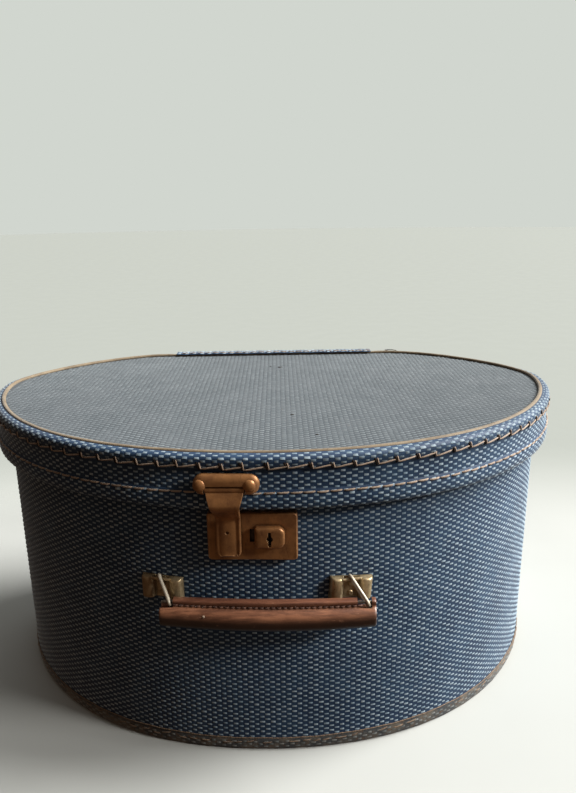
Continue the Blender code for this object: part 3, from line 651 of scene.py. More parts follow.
def lacquer_look():
    """Brown lacquer on pressed metal, rubbed through along the edges."""
    look = Look("bronze_lacquer", (0.46, 0.215, 0.08), 0.4, 0.5, coat=(0.12, 0.3))
    mottled = look.noise(0.12, 5.0, 0.65)
    look.coat((0.29, 0.13, 0.053), mottled, 0.35, 0.7)
    streak = look.noise(0.55, 4.0, 0.7, (1.0, 1.0, 0.25))
    look.coat((0.13, 0.05, 0.02), streak, 0.55, 0.72, 0.55)
    # painted shade: near-black brown laid where the lock's parts meet and overhang
    look.dirt_and_corner_shade((0.03, 0.012, 0.006), 3.0, 0.35, 0.9, 0.8)
    patchy = look.ramp(look.noise(0.35, 4.0), 0.3, 0.6, 0.35, 0.95)
    look.mask((0.7, 0.4, 0.2), look.times(look.edges(0.7), patchy))
    return look.finish(streak, 0.3, 0.5, look.plus(mottled, look.noise(1.4, 3.0)), 0.22, 0.15, 0.45)


def brass_look():
    """Dull olive brass, browner at the left."""
    look = Look("dull_brass", (0.64, 0.49, 0.29), 0.5, 0.7)
    mottled = look.noise(0.2, 5.0, 0.65)
    look.coat((0.4, 0.3, 0.165), mottled, 0.35, 0.68)
    look.mask((0.27, 0.16, 0.08), look.ramp(look.axis(0), -80.0, -76.0, 0.75, 0.0))
    tarnish = look.noise(0.7, 4.0, 0.7, (1.0, 1.0, 0.35))
    look.coat((0.07, 0.045, 0.02), tarnish, 0.56, 0.7, 0.6)
    # painted shade: dark brown laid into the bracket's recess and round its bar
    look.dirt_and_corner_shade((0.025, 0.016, 0.008), 4.0, 0.3, 0.85, 0.8)
    look.mask((0.62, 0.52, 0.33), look.times(look.edges(0.8), 0.75))
    return look.finish(tarnish, 0.28, 0.5, look.plus(mottled, look.noise(1.6, 3.0)), 0.2, 0.12, 0.5)


def steel_look(name, bright, dark, metal, rust):
    """Plated or oiled steel with specks of rust."""
    look = Look(name, bright, 0.5, metal)
    mottled = look.noise(0.4, 5.0, 0.65)
    look.coat(dark, mottled, 0.35, 0.7)
    look.coat((0.13, 0.05, 0.02), look.noise(0.9, 5.0, 0.75), 0.6, 0.72, rust)
    # painted shade: dark laid into corners near other parts
    look.dirt_and_corner_shade((0.03, 0.024, 0.02), 2.0, 0.3, 0.85, 0.7)
    return look.finish(mottled, 0.26, 0.5, look.plus(mottled, look.noise(2.2, 3.0)), 0.2, 0.1, 0.25)


def leather_look():
    """Polished brown leather with a long grain, with painted shade under the roll, and duller on the flange.
    """
    look = Look("grip_leather", (0.39, 0.168, 0.09), 0.5, coat=(0.3, 0.32))
    streak = look.noise(0.4, 5.0, 0.65, (0.12, 1.0, 1.0))
    look.coat((0.155, 0.06, 0.031), streak, 0.36, 0.66)
    look.coat((0.11, 0.038, 0.02), look.noise(0.03, 3.0), 0.45, 0.65, 0.5)
    # painted shade: near-black laid into the link notches and the groove under the flange
    look.dirt_and_corner_shade((0.012, 0.006, 0.004), 2.5, 0.3, 0.9, 0.85)
    # painted shade: where the roll faces sideways or down, below about z 119, it is darkened almost to black
    below = look.ramp(look.axis(2, look.given("ShaderNodeTexCoord", "Normal")), 0.0, 0.8, 0.93, 0.0)
    look.mask((0.022, 0.009, 0.005), look.times(below, look.ramp(look.axis(2), 118.5, 120.5, 1.0, 0.0)))
    look.coat((0.1, 0.035, 0.022), look.axis(2), 119.8, 121.2, 0.5)
    # pale streaks along the grip: rubbed wear, partly a painted highlight
    look.coat((0.52, 0.27, 0.16), look.noise(0.75, 4.0, 0.7, (0.3, 1.0, 1.0)), 0.62, 0.74, 0.5)
    pores = look.times(look.cells(0.9, (0.8, 1.0, 1.0)), 0.6)
    creases = look.noise(0.9, 4.0, 0.6, (0.35, 1.0, 1.0))
    return look.finish(streak, 0.3, 0.46, look.plus(pores, creases), 0.3, 0.25)


def paper_look():
    """Cream lining paper with a laid texture and foxing."""
    look = Look("lining_paper", (0.56, 0.5, 0.38), 0.25)
    look.coat((0.46, 0.39, 0.28), look.noise(0.02, 4.0), 0.35, 0.7)
    look.coat((0.3, 0.18, 0.09), look.noise(0.16, 5.0, 0.7), 0.63, 0.75, 0.6)
    laid = look.noise(1.1, 3.0, 0.5, (0.15, 0.15, 2.2))
    # painted shade: the lining is darker within 18 mm of other surfaces, towards its corners
    look.dirt_and_corner_shade((0.16, 0.12, 0.08), 18.0, 0.2, 0.85, 0.5)
    look.coat((0.34, 0.28, 0.2), laid, 0.4, 0.7, 0.25)
    return look.finish(laid, 0.75, 0.9, look.plus(laid, look.noise(0.25, 4.0)), 0.4, 0.3)


def board_look():
    """Brown pressed board."""
    look = Look("pressed_board", (0.2, 0.14, 0.085), 0.2)
    fibres = look.noise(0.8, 5.0, 0.7, (0.4, 1.0, 1.0))
    look.coat((0.12, 0.08, 0.05), fibres, 0.35, 0.7)
    look.coat((0.06, 0.045, 0.035), look.noise(0.05, 4.0), 0.5, 0.72, 0.5)
    return look.finish(fibres, 0.78, 0.92, fibres, 0.5, 0.3)


LOOKS = {
    "ground": covering_look("covering_ground", (0.013, 0.038, 0.09), (0.023, 0.06, 0.125), 0.4),
    "dash": dash_look("covering_dashes", (0.275, 0.38, 0.475), (0.43, 0.53, 0.605)),
    # greyer, flatter copies of the covering for the lid's top: partly dust, partly painted sheen, the grey of
    # light glancing off it
    "top_ground": covering_look("top_ground_dust_and_painted_sheen", (0.066, 0.078, 0.09), (0.085, 0.097, 0.11), 0.2),
    "top_dash": dash_look("top_dashes_dust_and_painted_sheen", (0.16, 0.185, 0.2), (0.21, 0.235, 0.25), 0.4, 0.15),
    # darker, greyer dashes for the lid's rounded edge: painted shade that tones down the highlights on its
    # shoulder
    "edge_dash": dash_look("edge_dashes_painted_shade", (0.19, 0.255, 0.31), (0.3, 0.37, 0.42), 0.4, 0.2),
    "worn": worn_look(),
    "worn_dash": dash_look("worn_dashes", (0.16, 0.18, 0.18), (0.3, 0.31, 0.3), 0.7),
    "thread": thread_look("beige_thread", (0.45, 0.335, 0.25), (0.28, 0.19, 0.13)),
    "brown_thread": thread_look("brown_thread", (0.26, 0.17, 0.105), (0.14, 0.085, 0.05)),
    "grip_thread": thread_look("grip_thread", (0.17, 0.07, 0.04), (0.075, 0.028, 0.016)),
    "welt": welt_look(),
    "shadow_and_speck": shadow_and_speck_look(),
    "lacquer": lacquer_look(),
    "brass": brass_look(),
    "wire": steel_look("cream_wire", (0.7, 0.64, 0.52), (0.5, 0.43, 0.33), 0.15, 0.25),
    "steel": steel_look("plated_steel", (0.5, 0.48, 0.44), (0.3, 0.28, 0.25), 0.9, 0.7),
    "works": steel_look("oiled_steel", (0.1, 0.075, 0.055), (0.05, 0.036, 0.026), 0.6, 0.6),
    "leather": leather_look(),
    "paper": paper_look(),
    "board": board_look(),
}


# ---------------------------------------------------------------- the case

def piece(name, shape, look, smooth, body, slot, *nodes):
    """A piece that needs no cutting."""
    fit(make(name, shape, LOOKS[look], smooth), body, slot, *nodes)


def cloth(name, shape, look="dash", body="lid"):
    """A piece of dashes, which face outwards as they are."""
    fit(make(name, shape, LOOKS[look], 75, False), body, "covering")


def woven(name, runs, look="dash", body="lid"):
    """Dashes on bands, each given as its profile and where its first row starts."""
    shape = Shape()
    for path, start in runs:
        weave_band(shape, path, start)
    cloth(name, shape, look, body)


def build_fray(inset=9.3, middle=9.5, count=3000):
    """The frayed thread along the upper edge of the base binding."""
    frayed, outline, path = Shape(), Outline(inset), []
    for k in range(count):
        lift, z = 0.3 + wobble(k / count, 2.3, 0.25), middle + wobble(k / count, 4.1, 0.4)
        path.append(outline.lifted(k * outline.total / count, lift, z))
    frayed.tube(path, [0.34 + 0.14 * math.sin(k * 0.9) * math.sin(k * 0.37) for k in range(count)], 6, True)
    piece("case_base_fray", frayed, "brown_thread", 80, "case", "covering")


def build_case():
    wall = band([(9.5, 1.5), (9.5, 60.0), (9.5, 130.0), (9.5, 202.6), (9.8, 203.6), (10.6, 204.0),
                 (11.6, 204.0), (12.3, 203.6), (12.5, 202.8), (12.5, 1.5)])
    piece("case_wall", wall, "ground", 50, "case", "covering", "body_wall")
    woven("case_weave", [([(9.5, 9.6), (9.5, 203.0)], 0.0)], "dash", "case")

    edge = [(9.38, 1.4), (9.15, 1.0), (8.85, 1.7), (8.72, 4.0), (8.72, 6.5), (8.82, 8.3), (9.05, 9.2),
            (9.38, 9.3)]
    piece("case_base_binding", band(edge, wave=0.1), "worn", 60, "case", "covering", "base_binding")
    face = [(8.85, 1.7), (8.72, 4.0), (8.72, 6.5), (8.85, 8.5)]
    woven("case_base_weave", [(face, 0.0)], "worn_dash", "case")
    piece("case_base_stitches", worn_stitches(6.2, 8.72), "brown_thread", 40, "case", "covering")
    build_fray()

    liner = band([(13.9, 5.3), (13.9, 201.2), (14.1, 201.9), (14.5, 201.9), (14.7, 201.2), (14.7, 5.3)])
    piece("case_lining_paper", liner, "paper", 50, "case", "lining", "case_lining")
    piece("floor_lining_paper", disc(15.0, 5.4, 6.6, 0.2), "paper", 50, "case", "lining", "floor_lining")


# ---------------------------------------------------------------- the lid

def top_height(points):
    """The lid's upper face, which sags a little in the middle."""
    centre_y = 0.5 * (PLAN[:, 1].min() + PLAN[:, 1].max())
    half_depth = 0.5 * (FRONT_DEPTH + REAR_DEPTH)
    radius = np.hypot(points[:, 0] / HALF_WIDTH, (points[:, 1] - centre_y) / half_depth)
    return TOP_Z - TOP_SAG * np.cos(0.5 * np.pi * np.clip(radius, 0, 1))


def under_strip(x, y, z):
    """The cord is pressed flat where the back strip lies over it."""
    near = min(1.0, max(0.0, (101.0 - abs(x)) / 6.0)) if y > 100 else 0.0
    return z - max(0.0, z - 220.1) * near


def build_lid():
    side = band([(1.2, 185.6), (1.3, 197.0), (1.7, 205.0), (1.6, 209.5), (1.1, 214.2), (4.4, 214.2),
                 (4.4, 185.6)])
    piece("lid_side", side, "ground", 50, "lid", "covering", "lid_skirt")
    hem_face = [(1.6, 184.5), (0.6, 185.3), (0.0, 186.8), (-0.3, 189.5), (-0.25, 192.6), (0.2, 195.2),
                (0.8, 196.8)]
    hem = [(5.3, 184.2), (2.6, 184.1)] + hem_face + [(1.35, 197.6), (1.3, 186.2), (2.2, 185.0), (5.3, 184.9)]
    piece("lid_hem_fold", band(hem, wave=0.12, seed=2.0), "ground", 60, "lid", "covering", "lid_hem")
    edge_face = [(0.7, 211.0), (0.2, 212.6), (-0.05, 214.6), (0.05, 216.4), (0.6, 217.8), (1.6, 218.8),
                 (3.2, 219.4), (6.0, 219.6)]
    edge = [(1.5, 210.4), *edge_face, (6.2, 218.7), (2.0, 218.0), (1.0, 216.6), (0.95, 212.0), (1.5, 211.0)]
    piece("lid_edge_binding", band(edge, wave=0.1, seed=3.0), "ground", 60, "lid", "covering", "lid_binding")

    woven("lid_weave", [(hem_face[1:], -0.28), ([(1.3, 197.0), (1.7, 205.0), (1.6, 209.9)], 0.0)])
    woven("lid_edge_weave", [(edge_face, 0.0)], "edge_dash")
    top = disc(1.4, 214.8, TOP_Z, TOP_SAG, rings=40)
    piece("lid_top", top, "top_ground", 50, "lid", "covering", "lid_board")
    on_top = Shape()
    weave_top(on_top, 8.4, top_height)
    cloth("lid_top_weave", on_top, "top_dash")

    cord = [(7.0 + 1.6 * math.cos(a), 219.2 + 1.45 * math.sin(a)) for a in turns(14)]
    piece("lid_welt_cord", band(cord, 900, 0.1, 5.0, under_strip), "welt", 80, "lid", "welt", "lid_welt")

    row = running_stitches(195.8, 0.25, 8.1, 7.0, 0.66)
    piece("lid_hem_stitches", row, "thread", 80, "lid", "covering")
    threads, shadow_slivers = saw_stitches(211.0, 0.1, 13.4, 2.4, 4.3, 0.55)
    piece("lid_edge_stitches", threads, "thread", 80, "lid", "covering")
    # near-black slivers: painted shadows beside the stitch legs
    piece("lid_edge_painted_shadows", shadow_slivers, "shadow_and_speck", 80, "lid", "covering")

    piece("lid_lining_paper", disc(4.7, 213.7, 214.5, 0.0), "paper", 50, "lid", "lining", "lid_lining")
    liner = band([(6.0, 186.4), (6.0, 213.3), (6.6, 213.3), (6.6, 186.4), (6.4, 186.0), (6.2, 186.0)])
    piece("lid_band_paper", liner, "paper", 50, "lid", "lining", "lid_lining_band")
    build_back_strip()
    build_marks()


def build_back_strip():
    """The strip folded over the lid's back edge, with a row of stitches down each border."""
    front = WIDEST_Y + REAR_DEPTH + 0.3
    back = front + 0.8
    outer = [(back, 187.0), (back, 219.4), (front + 0.5, 220.5), (front - 0.6, 221.1), (front - 10.6, 221.1),
             (front - 11.0, 220.8)]
    inner = [(front - 10.8, 220.4), (front - 1.0, 220.4), (front - 0.2, 219.9), (front, 219.2),
             (front, 187.0)]
    rings = []
    for x in np.linspace(-95.0, 95.0, 77):
        lift = 0.12 * math.sin(0.31 * x) + 0.08 * math.sin(0.83 * x)
        rings.append([(x, y, z + (lift if z > 200 else 0)) for y, z in outer + inner])
    piece("back_strip_cloth", lofted(rings), "ground", 60, "lid", "covering", "back_strip")

    weave = Shape()
    for column, x in enumerate(np.arange(-92.5, 93.0, COLUMN)):
        odd = ROW * (column % 2)
        down = np.arange(189.0 + odd, 219.0, 2 * ROW)
        flat_dashes(weave, [(x, back, z) for z in down], -X_AXIS, Z_AXIS, Y_AXIS)
        over = np.arange(front - 9.6 + odd, front - 1.2, 2 * ROW)
        flat_dashes(weave, [(x, y, 221.1) for y in over], X_AXIS, Y_AXIS, Z_AXIS)
    cloth("back_strip_weave", weave)

    stitches = Shape()
    starts = [((x, front, z), ((0, 0.7, 0), (0, 1.35, 0.8), (0, 1.4, 3.2), (0, 0.7, 4.2)))
              for x in (-92.6, 92.6) for z in np.arange(189.0, 218.0, 5.2)]
    for x in np.arange(-90.0, 88.0, 7.4):
        starts.append(((x, front, 190.2), ((0, 0.7, 0), (1.0, 1.35, 0.1), (5.4, 1.35, 0.2), (6.4, 0.7, 0.3))))
        starts.append(((x, front - 9.0, 221.0),
                       ((0, 0, 0), (1.0, 0, 0.55), (5.4, -0.1, 0.55), (6.4, -0.1, 0))))
    for start, steps in starts:
        stitches.tube([[a + b for a, b in zip(start, step)] for step in steps], [0.3, 0.5, 0.5, 0.3])
    piece("back_strip_stitches", stitches, "thread", 80, "lid", "covering")


def build_marks():
    """A torn tab beside the back strip and worn specks on the top."""
    rings = []
    for k in range(9):
        t = k / 8
        x, y, lift = 110.0 + 11.0 * t, 142.6 - 2.2 * t, 1.3 * math.sin(math.pi * (0.15 + 0.75 * t))
        half = 1.6 * (1 - 0.75 * t) + 0.35 * math.sin(9 * t)
        rings.append([(x, y - half, 219.6 + lift), (x, y + half, 219.5 + lift),
                      (x, y + half, 220.0 + lift), (x, y - half, 220.2 + lift)])
    piece("lid_torn_tab", lofted(rings), "worn", 60, "lid", "covering")
    specks = Shape()
    for x, y, size in ((5.8, 87.6, 1.7), (13.6, -55.9, 1.0), (28.9, -100.0, 0.8), (-3.0, 90.5, 0.7)):
        z = float(top_height(np.array([[x, y]]))[0])
        loops = []
        for scale, up in ((1.0, -0.05), (0.8, 0.32), (0.35, 0.42)):
            loops.append([(x + 1.3 * size * scale * (1 + 0.25 * math.sin(3 * a + x)) * math.cos(a),
                           y + size * scale * (1 + 0.25 * math.cos(2 * a + y)) * math.sin(a), z + up)
                          for a in turns(14)])
        specks.loft(loops)
    piece("lid_specks", specks, "shadow_and_speck", 60, "lid", "covering")


# ---------------------------------------------------------------- lock and hasp

def lock_box(us, outs, zs):
    """The corners of a box in the lock's plane: four below, four above, both anticlockwise."""
    base = ((us[0], outs[0]), (us[1], outs[0]), (us[1], outs[1]), (us[0], outs[1]))
    return [LOCK.point(u, out, z) for z in zs for u, out in base]


def build_button():
    centre = (sum(BUTTON_U) / 2, sum(BUTTON_Z) / 2)
    half_u, half_z = (BUTTON_U[1] - BUTTON_U[0]) / 2, (BUTTON_Z[1] - BUTTON_Z[0]) / 2
    rings = []
    for out, pull in ((5.4, 0.0), (7.9, 0.0), (8.7, 0.15), (9.25, 0.55), (9.6, 1.2), (9.8, 2.3), (9.9, 4.0)):
        radius = (max(0.5, 1.4 - 0.3 * pull), max(1.2, 4.6 - 0.5 * pull))
        rings.append(LOCK.ring(rounded(half_u - pull, half_z - pull, radius, centre, 8), out))
    thing = make("slide_button", lofted(rings), LOOKS["lacquer"])
    inside = rounded(half_u - 1.0, half_z - 1.0, (0.8, 3.5), centre, 6)
    keyway = rounded(0.95, 4.9, 0.4, (centre[0], centre[1] - 0.6), 4)
    carve(thing, lofted([LOCK.ring(inside, out) for out in (4.0, 8.5)]),
          lofted([LOCK.circle(centre[0], centre[1] - 0.3, 2.0, out, 24) for out in (7.6, 11.0)]),
          lofted([LOCK.ring(keyway, out) for out in (7.7, 11.2)]))
    fit(thing, "slide", "lock_metal", "lock_button")
    posts = Shape()
    for us, zs in (((9.8, 12.4), (161.5, 169.5)), ((15.0, 20.0), (159.2, 160.6)),
                   ((15.0, 20.0), (170.4, 171.8))):
        posts.cube(lock_box(us, (3.7, 8.8), zs))
    piece("slide_posts", posts, "lacquer", 30, "slide", "steel")


def build_hasp_plate():
    rings = []
    levels = ((9.7, 0.0, 0.0), (12.0, 0.0, 0.0), (12.9, 0.7, 0.2), (13.6, 1.8, 0.5), (14.1, 3.0, 1.0),
              (14.35, 4.0, 1.9), (14.45, 5.0, 3.4))
    for k, (out, top, bottom) in enumerate(levels):
        half_z = 6.35 - (top + bottom) / 2
        centre = (HASP_U + 1.0, HASP_Z - 0.6 - (top - bottom) / 2)
        pull = 0.9 * min(top, 3.0)
        ring = rounded(20.0 - pull, half_z, half_z * 0.98, centre, 10)
        if k < 1:
            rings.append([LOCK.point(u, LOCK.surface(u, -0.3) + 0.2, z) for u, z in ring])
        else:
            rings.append(LOCK.ring(ring, out))
    thing = make("hasp_pillow", lofted(rings), LOOKS["lacquer"])
    recess = Shape()
    recess.cube(lock_box((HASP_U - 12.5, HASP_U + 12.5), (16.5, 9.6), (195.0, 201.95)))
    carve(thing, recess)
    fit(thing, "lid", "lock_metal", "hasp_plate")
    levels = [(4.1, 11.5)]
    levels += [(4.1 * math.cos(a), 13.2 + 2.5 * math.sin(a)) for a in np.linspace(0, 0.5 * np.pi, 8)[:-1]]
    levels += [(0.5, 15.72)]
    for side, du in (("left", -14.8), ("right", 14.8)):
        dome = lofted([LOCK.circle(HASP_U + du, HASP_Z - 0.8, radius, out, 28) for radius, out in levels])
        piece(f"hasp_{side}_dome", dome, "lacquer", 60, "lid", "lock_metal", f"hasp_{side}_rivet")


def smooth_stations(stations, parts=5):
    """A Catmull-Rom curve through the stations."""
    points = [Vector(s) for s in stations]
    points = [2 * points[0] - points[1]] + points + [2 * points[-1] - points[-2]]
    out = []
    for a, b, c, d in zip(points, points[1:], points[2:], points[3:]):
        for k in range(parts):
            t = k / parts
            out.append(0.5 * ((2 * b) + (c - a) * t + (2 * a - 5 * b + 4 * c - d) * t * t
                              + (3 * b - a - 3 * c + d) * t ** 3))
    out.append(points[-2])
    return out


def build_hasp_arm():
    """The tongue: wide under the plate, then a ribbed blade over the lock."""
    curve = smooth_stations([(13.0, 198.4, 11.1), (14.6, 196.6, 11.0), (16.9, 191.6, 9.6), (16.7, 188.6, 8.8),
                             (12.4, 183.6, 8.2), (8.8, 180.2, 7.9), (7.1, 176.8, 7.8), (7.1, 170.0, 7.8),
                             (7.1, 162.0, 7.8), (7.1, 155.6, 7.7), (7.6, 153.4, 6.9), (8.3, 152.7, 5.6)])
    across = [(-1.0, 0.05), (-0.97, 0.4), (-0.86, 0.62), (-0.74, 0.5), (-0.66, 0.62), (-0.58, 0.95),
              (-0.2, 1.05), (0.2, 1.05), (0.5, 0.95), (0.58, 0.6), (0.7, 0.5), (0.78, 0.95), (0.87, 1.25),
              (0.95, 0.95), (1.0, 0.2)]
    back = [(1.0, -0.3), (0.94, -0.55), (0.3, -0.6), (-0.3, -0.6), (-0.94, -0.55), (-1.0, -0.3)]
    rings, knuckle = [], []
    for i, p in enumerate(curve):
        before, after = curve[max(i - 1, 0)], curve[min(i + 1, len(curve) - 1)]
        along = Vector((after.x - before.x, after.y - before.y)).normalized()
        face = Vector((-along.y, along.x))
        blade = min(1.0, max(0.0, (189.5 - p.y) / 8.0))
        middle, ring = HASP_U + BLADE_SHIFT * blade, []
        for share, lift in across + back:
            rise = lift if lift < 0 else 0.5 + (lift - 0.5) * blade
            ring.append(LOCK.point(middle + share * p.z, p.x + face.x * rise, p.y + face.y * rise))
        rings.append(ring)
    for share in (-1.0, -0.985, 0.985, 1.0):
        radius = 2.2 if abs(share) < 0.99 else 1.95
        knuckle.append([LOCK.point(HASP_U + 11.9 * share, HASP_PIN[0] + radius * math.cos(a),
                                   HASP_PIN[1] + radius * math.sin(a)) for a in turns(24)])
    piece("hasp_knuckle", lofted(knuckle), "lacquer", 50, "hasp", "lock_metal")
    thing = make("hasp_tongue", lofted(rings), LOOKS["lacquer"], 50)
    pit = lofted([LOCK.circle(HASP_U + BLADE_SHIFT - 0.6, 168.8, 1.1, out, 16) for out in (7.3, 12.0)])
    carve(thing, pit, smooth=50)
    fit(thing, "hasp", "lock_metal", "hasp_arm")


# ---------------------------------------------------------------- handle

def build_bracket(side):
    """A pressed bracket: two round pillows with a recess between them, and a bar across it."""
    plane, middle, turn = wall_plane(BRACKET_X[side]), sum(BRACKET_Z) / 2, math.radians(BRACKET_TILT[side])

    def place(u, out, z):
        up = z - middle
        return plane.point(u * math.cos(turn) - up * math.sin(turn), out,
                           middle + u * math.sin(turn) + up * math.cos(turn))

    us = np.concatenate([np.linspace(-14, -5, 19), np.linspace(-4.6, 4.6, 5), np.linspace(5, 14, 19)])
    front = []
    for u in us:
        x = min(1.0, abs(abs(u) - 9.5) / 4.5)
        bulge = (1 - x ** 2.4) ** (1 / 2.4) if abs(u) > 4.7 else 0.0
        front.append(1.0 + 4.8 * bulge)
    back = [plane.surface(float(u), WALL_INSET) + 0.3 for u in us]
    shape, rings = Shape(), []
    for z, share in ((BRACKET_Z[0], 0.72), (BRACKET_Z[0] + 0.3, 0.88), (BRACKET_Z[0] + 1.0, 1.0),
                     (118.0, 1.0), (126.0, 1.0), (BRACKET_Z[1] - 1.5, 1.0), (BRACKET_Z[1] - 0.7, 0.94),
                     (BRACKET_Z[1] - 0.2, 0.8), (BRACKET_Z[1], 0.62)):
        outer = [place(u, b + (f - b) * (share if f > 1.05 else 1.0), z) for u, f, b in zip(us, front, back)]
        inner = [place(u, b, z) for u, b in zip(us, back)]
        rings.append(outer + inner[::-1])
    shape.loft(rings)
    shape.tube([plane.point(u, BRIDGE_OUT, BRIDGE_Z) for u in (-6.2, -2, 2, 6.2)], 1.0, 14)
    piece(f"{side}_bracket_pillows", shape, "brass", 50, "case", "bracket_metal", f"{side}_bracket")


def build_link(side):
    """A closed link of round wire."""
    top, bottom = Vector(BRIDGES[side]), Vector(PINS[side])
    along = (bottom - top).normalized()
    across = along.cross(Vector((1, 0, 0))).normalized()
    path = []
    for centre, begin in ((bottom, 0.0), (top, math.pi)):
        for i in range(15):
            a = begin + math.pi * i / 14
            path.append(centre + (across * math.cos(a) + along * math.sin(a)) * LINK_BEND)
    shape = Shape()
    shape.tube(path, LINK_WIRE, 14, True)
    piece(f"{side}_wire_link", shape, "wire", 80, "handle_links", "steel", f"{side}_link")


def grip_section(swell):
    """The grip's outer section as (out, up) from the line of the pins, with a groove under the flange."""
    centre, radius_up = -8.4 - 0.3 * swell, 7.5 + 0.5 * swell
    points = []
    for i in range(37):
        a = math.radians(110 + 318 * i / 36)
        radius_out = (7.4 if math.cos(a) > 0 else 4.6) + 1.2 * swell
        points.append((radius_out * math.cos(a), centre + radius_up * math.sin(a)))
    top, edge = 2.6 + 0.8 * swell, 2.75
    flange = [(2.35, -0.55), (2.3, 0.15), (edge - 0.15, 0.6), (edge, 1.1), (edge, top - 0.9),
              (edge - 0.25, top - 0.35), (edge - 0.8, top), (0.0, top + 0.15)]
    return points + flange + [(-out, up) for out, up in flange[:-1]][::-1]


def grip_middle(t):
    """A point on the line of the pins, which bows outwards, with the directions along it and out."""
    left, right = Vector(PINS["left"]), Vector(PINS["right"])
    line = (right - left).normalized()
    out = Vector((line.y, -line.x, 0)).normalized()
    start, end = left - line * GRIP_END, right + line * GRIP_END
    return start.lerp(end, t) + out * (GRIP_BOW * math.sin(math.pi * t)), line, out


def build_grip():
    """The leather roll with its notches for the links, its stitches and a nick."""
    rings = []
    for t in [0.0, 0.003, 0.009] + list(np.linspace(0.02, 0.98, 64)) + [0.991, 0.997, 1.0]:
        middle, _, out = grip_middle(t)
        swell = max(0.0, math.sin(math.pi * t)) ** 0.7
        shrink = 0.93 if t in (0.0, 1.0) else 0.98 if t in (0.003, 0.997) else 1.0
        rings.append([middle + out * (a * shrink) + Vector((0, 0, -6 + (b + 6) * shrink))
                      for a, b in grip_section(swell)])
    thing = make("grip_roll", lofted(rings), LOOKS["leather"], 50)
    cutters = []
    _, line, _ = grip_middle(0.5)
    for side in ("left", "right"):
        pin, lean = Vector(PINS[side]), 7.2 if side == "left" else 6.2
        notch = Shape()
        notch.tube([pin - line * lean, pin - line, pin + line * 3.0], 4.4, 32)
        cutters.append(notch)
    carve(thing, *cutters, smooth=45)
    fit(thing, "grip", "grip_leather", "grip_cover")

    stitches, count = Shape(), 33
    bulge = ((-0.0105, 0.0), (-0.007, 0.45), (0.0, 0.6), (0.007, 0.45), (0.0105, 0.0))
    for k in range(count):
        t = 0.075 + 0.85 * k / (count - 1)
        for sign in (1, -1):
            path = []
            for j, (dt, rise) in enumerate(bulge):
                middle, _, out = grip_middle(t + dt)
                path.append(middle + out * (sign * (2.2 + rise)) + Vector((0, 0, -0.25 + 0.14 * (j - 2))))
            stitches.tube(path, [0.3, 0.48, 0.52, 0.48, 0.3], 8)
    piece("grip_stitches", stitches, "grip_thread", 80, "grip", "grip_leather")
    middle, line, out = grip_middle(0.21)
    loops = []
    for scale, lift in ((1.0, 6.5), (0.8, 7.55), (0.3, 7.75)):
        loops.append([middle + line * (scale * math.cos(a)) + out * (lift - 0.02)
                      + Vector((0, 0, -4.8 + 0.9 * scale * math.sin(a))) for a in turns(12)])
    piece("grip_nick", lofted(loops), "thread", 60, "grip", "grip_leather")


# ---------------------------------------------------------------- CAD nodes that stay

LOCK_WORKS = ("lock_base", "lock_bolt", "lock_spring", "key_barrel")


def dress_cad():
    """Better materials for the CAD nodes that are shown."""
    by_slot = {"covering": "worn", "board": "board", "lock_metal": "lacquer", "bracket_metal": "brass",
               "steel": "steel", "lining": "paper", "welt": "welt", "grip_leather": "leather"}
    for name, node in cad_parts.items():
        if node.hide_render:
            continue
        first = node.data.materials[0].name.split(".")[0] if node.data.materials else "steel"
        by_name = "works" if name in LOCK_WORKS else "brass" if "bracket" in name else None
        look = LOOKS[by_name or by_slot.get(first, "steel")]
        node.data.materials.clear()
        node.data.materials.append(look)


# ---------------------------------------------------------------- stage

def build_stage():
    """A pale floor that darkens behind the object; it sends no light back to it."""
    floor, count = Shape(), 96
    loops = [[(r * math.cos(a), r * math.sin(a), -0.15) for a in turns(count)]
             for r in (20.0, 1000.0, 9000.0)]
    floor.loft(loops, caps=False)
    floor.add(loops[0], [tuple(range(count))])
    look = Look("pale_floor", (0.475, 0.485, 0.467), 0.2)
    look.coat((0.455, 0.465, 0.447), look.noise(0.004, 3.0), 0.3, 0.7)
    look.coat((0.305, 0.322, 0.3), look.axis(1), 150.0, 480.0)
    thing = make("floor", floor, look.finish(look.noise(0.02), 0.7, 0.85))
    thing.visible_diffuse = False
    thing.visible_glossy = False


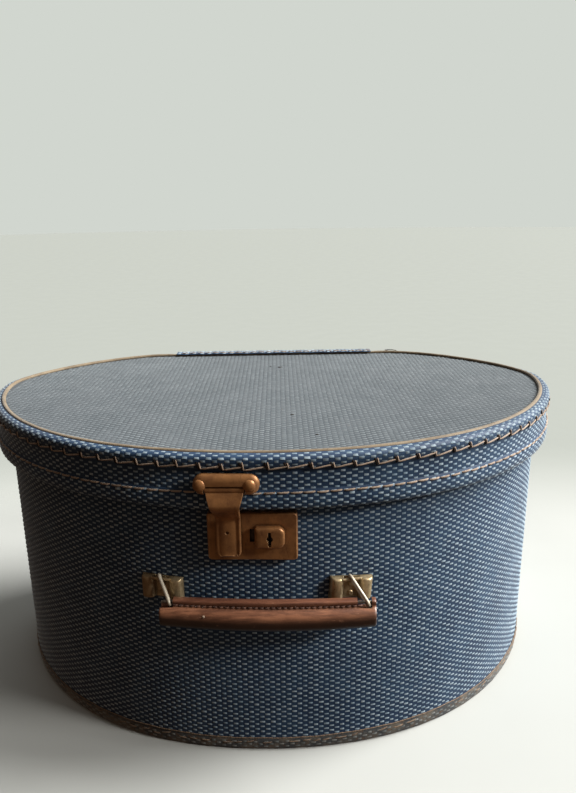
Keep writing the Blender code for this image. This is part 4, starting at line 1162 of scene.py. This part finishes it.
def sun(name, towards, strength, angle, colour):
    data = bpy.data.lights.new(name, "SUN")
    data.energy, data.angle, data.color = strength, math.radians(angle), colour
    link(name, data).rotation_euler = Vector(towards).to_track_quat("Z", "Y").to_euler()


def build_light():
    """A tall window on the right, a weaker light from the front right, and a dim warm room on the left."""
    sun("window", (0.75, 0.15, 0.64), 6.8, 32.0, (1.0, 0.99, 0.96))
    sun("front_right", (0.86, -0.3, 0.5), 1.8, 12.0, (1.0, 0.98, 0.94))
    world = bpy.data.worlds.new("room")
    bpy.context.scene.world = world
    room = Nodes(world)
    window = Vector((0.62, 0.75, 0.2)).normalized()
    towards = room.vector("DOT_PRODUCT", room.given("ShaderNodeTexCoord", "Generated"), window, "Value")
    lit = room.mix(room.ramp(towards, -0.3, 0.75), DIM, BRIGHT)
    seen = room.mix(room.given("ShaderNodeLightPath", "Is Camera Ray"), lit, BACKDROP)
    room.feed(seen, room.tree.nodes["Background"].inputs["Color"])
    bpy.context.scene.view_settings.view_transform = "Standard"


def build_camera():
    ahead = Vector((math.sin(YAW) * math.cos(PITCH), math.cos(YAW) * math.cos(PITCH), -math.sin(PITCH)))
    right = Vector((math.cos(YAW), -math.sin(YAW), 0.0))
    up = right.cross(ahead)
    x_axis = right * math.cos(ROLL) + up * math.sin(ROLL)
    y_axis = up * math.cos(ROLL) - right * math.sin(ROLL)
    data = bpy.data.cameras.new("camera")
    data.lens, data.sensor_width, data.sensor_fit = FOCAL / PHOTO_HEIGHT * SENSOR, SENSOR, "AUTO"
    data.clip_start, data.clip_end = 0.01, 50.0
    thing = link("camera", data)
    turn = Matrix((x_axis, y_axis, -ahead)).transposed().to_4x4()
    thing.matrix_world = Matrix.Translation(Vector(CAMERA_AT)) @ turn
    bpy.context.scene.camera = thing


build_camera()
build_case()
build_lid()
build_button()
build_hasp_plate()
build_hasp_arm()
for end in ("left", "right"):
    build_bracket(end)
    build_link(end)
build_grip()
dress_cad()
build_stage()
build_light()
bpy.context.view_layer.update()
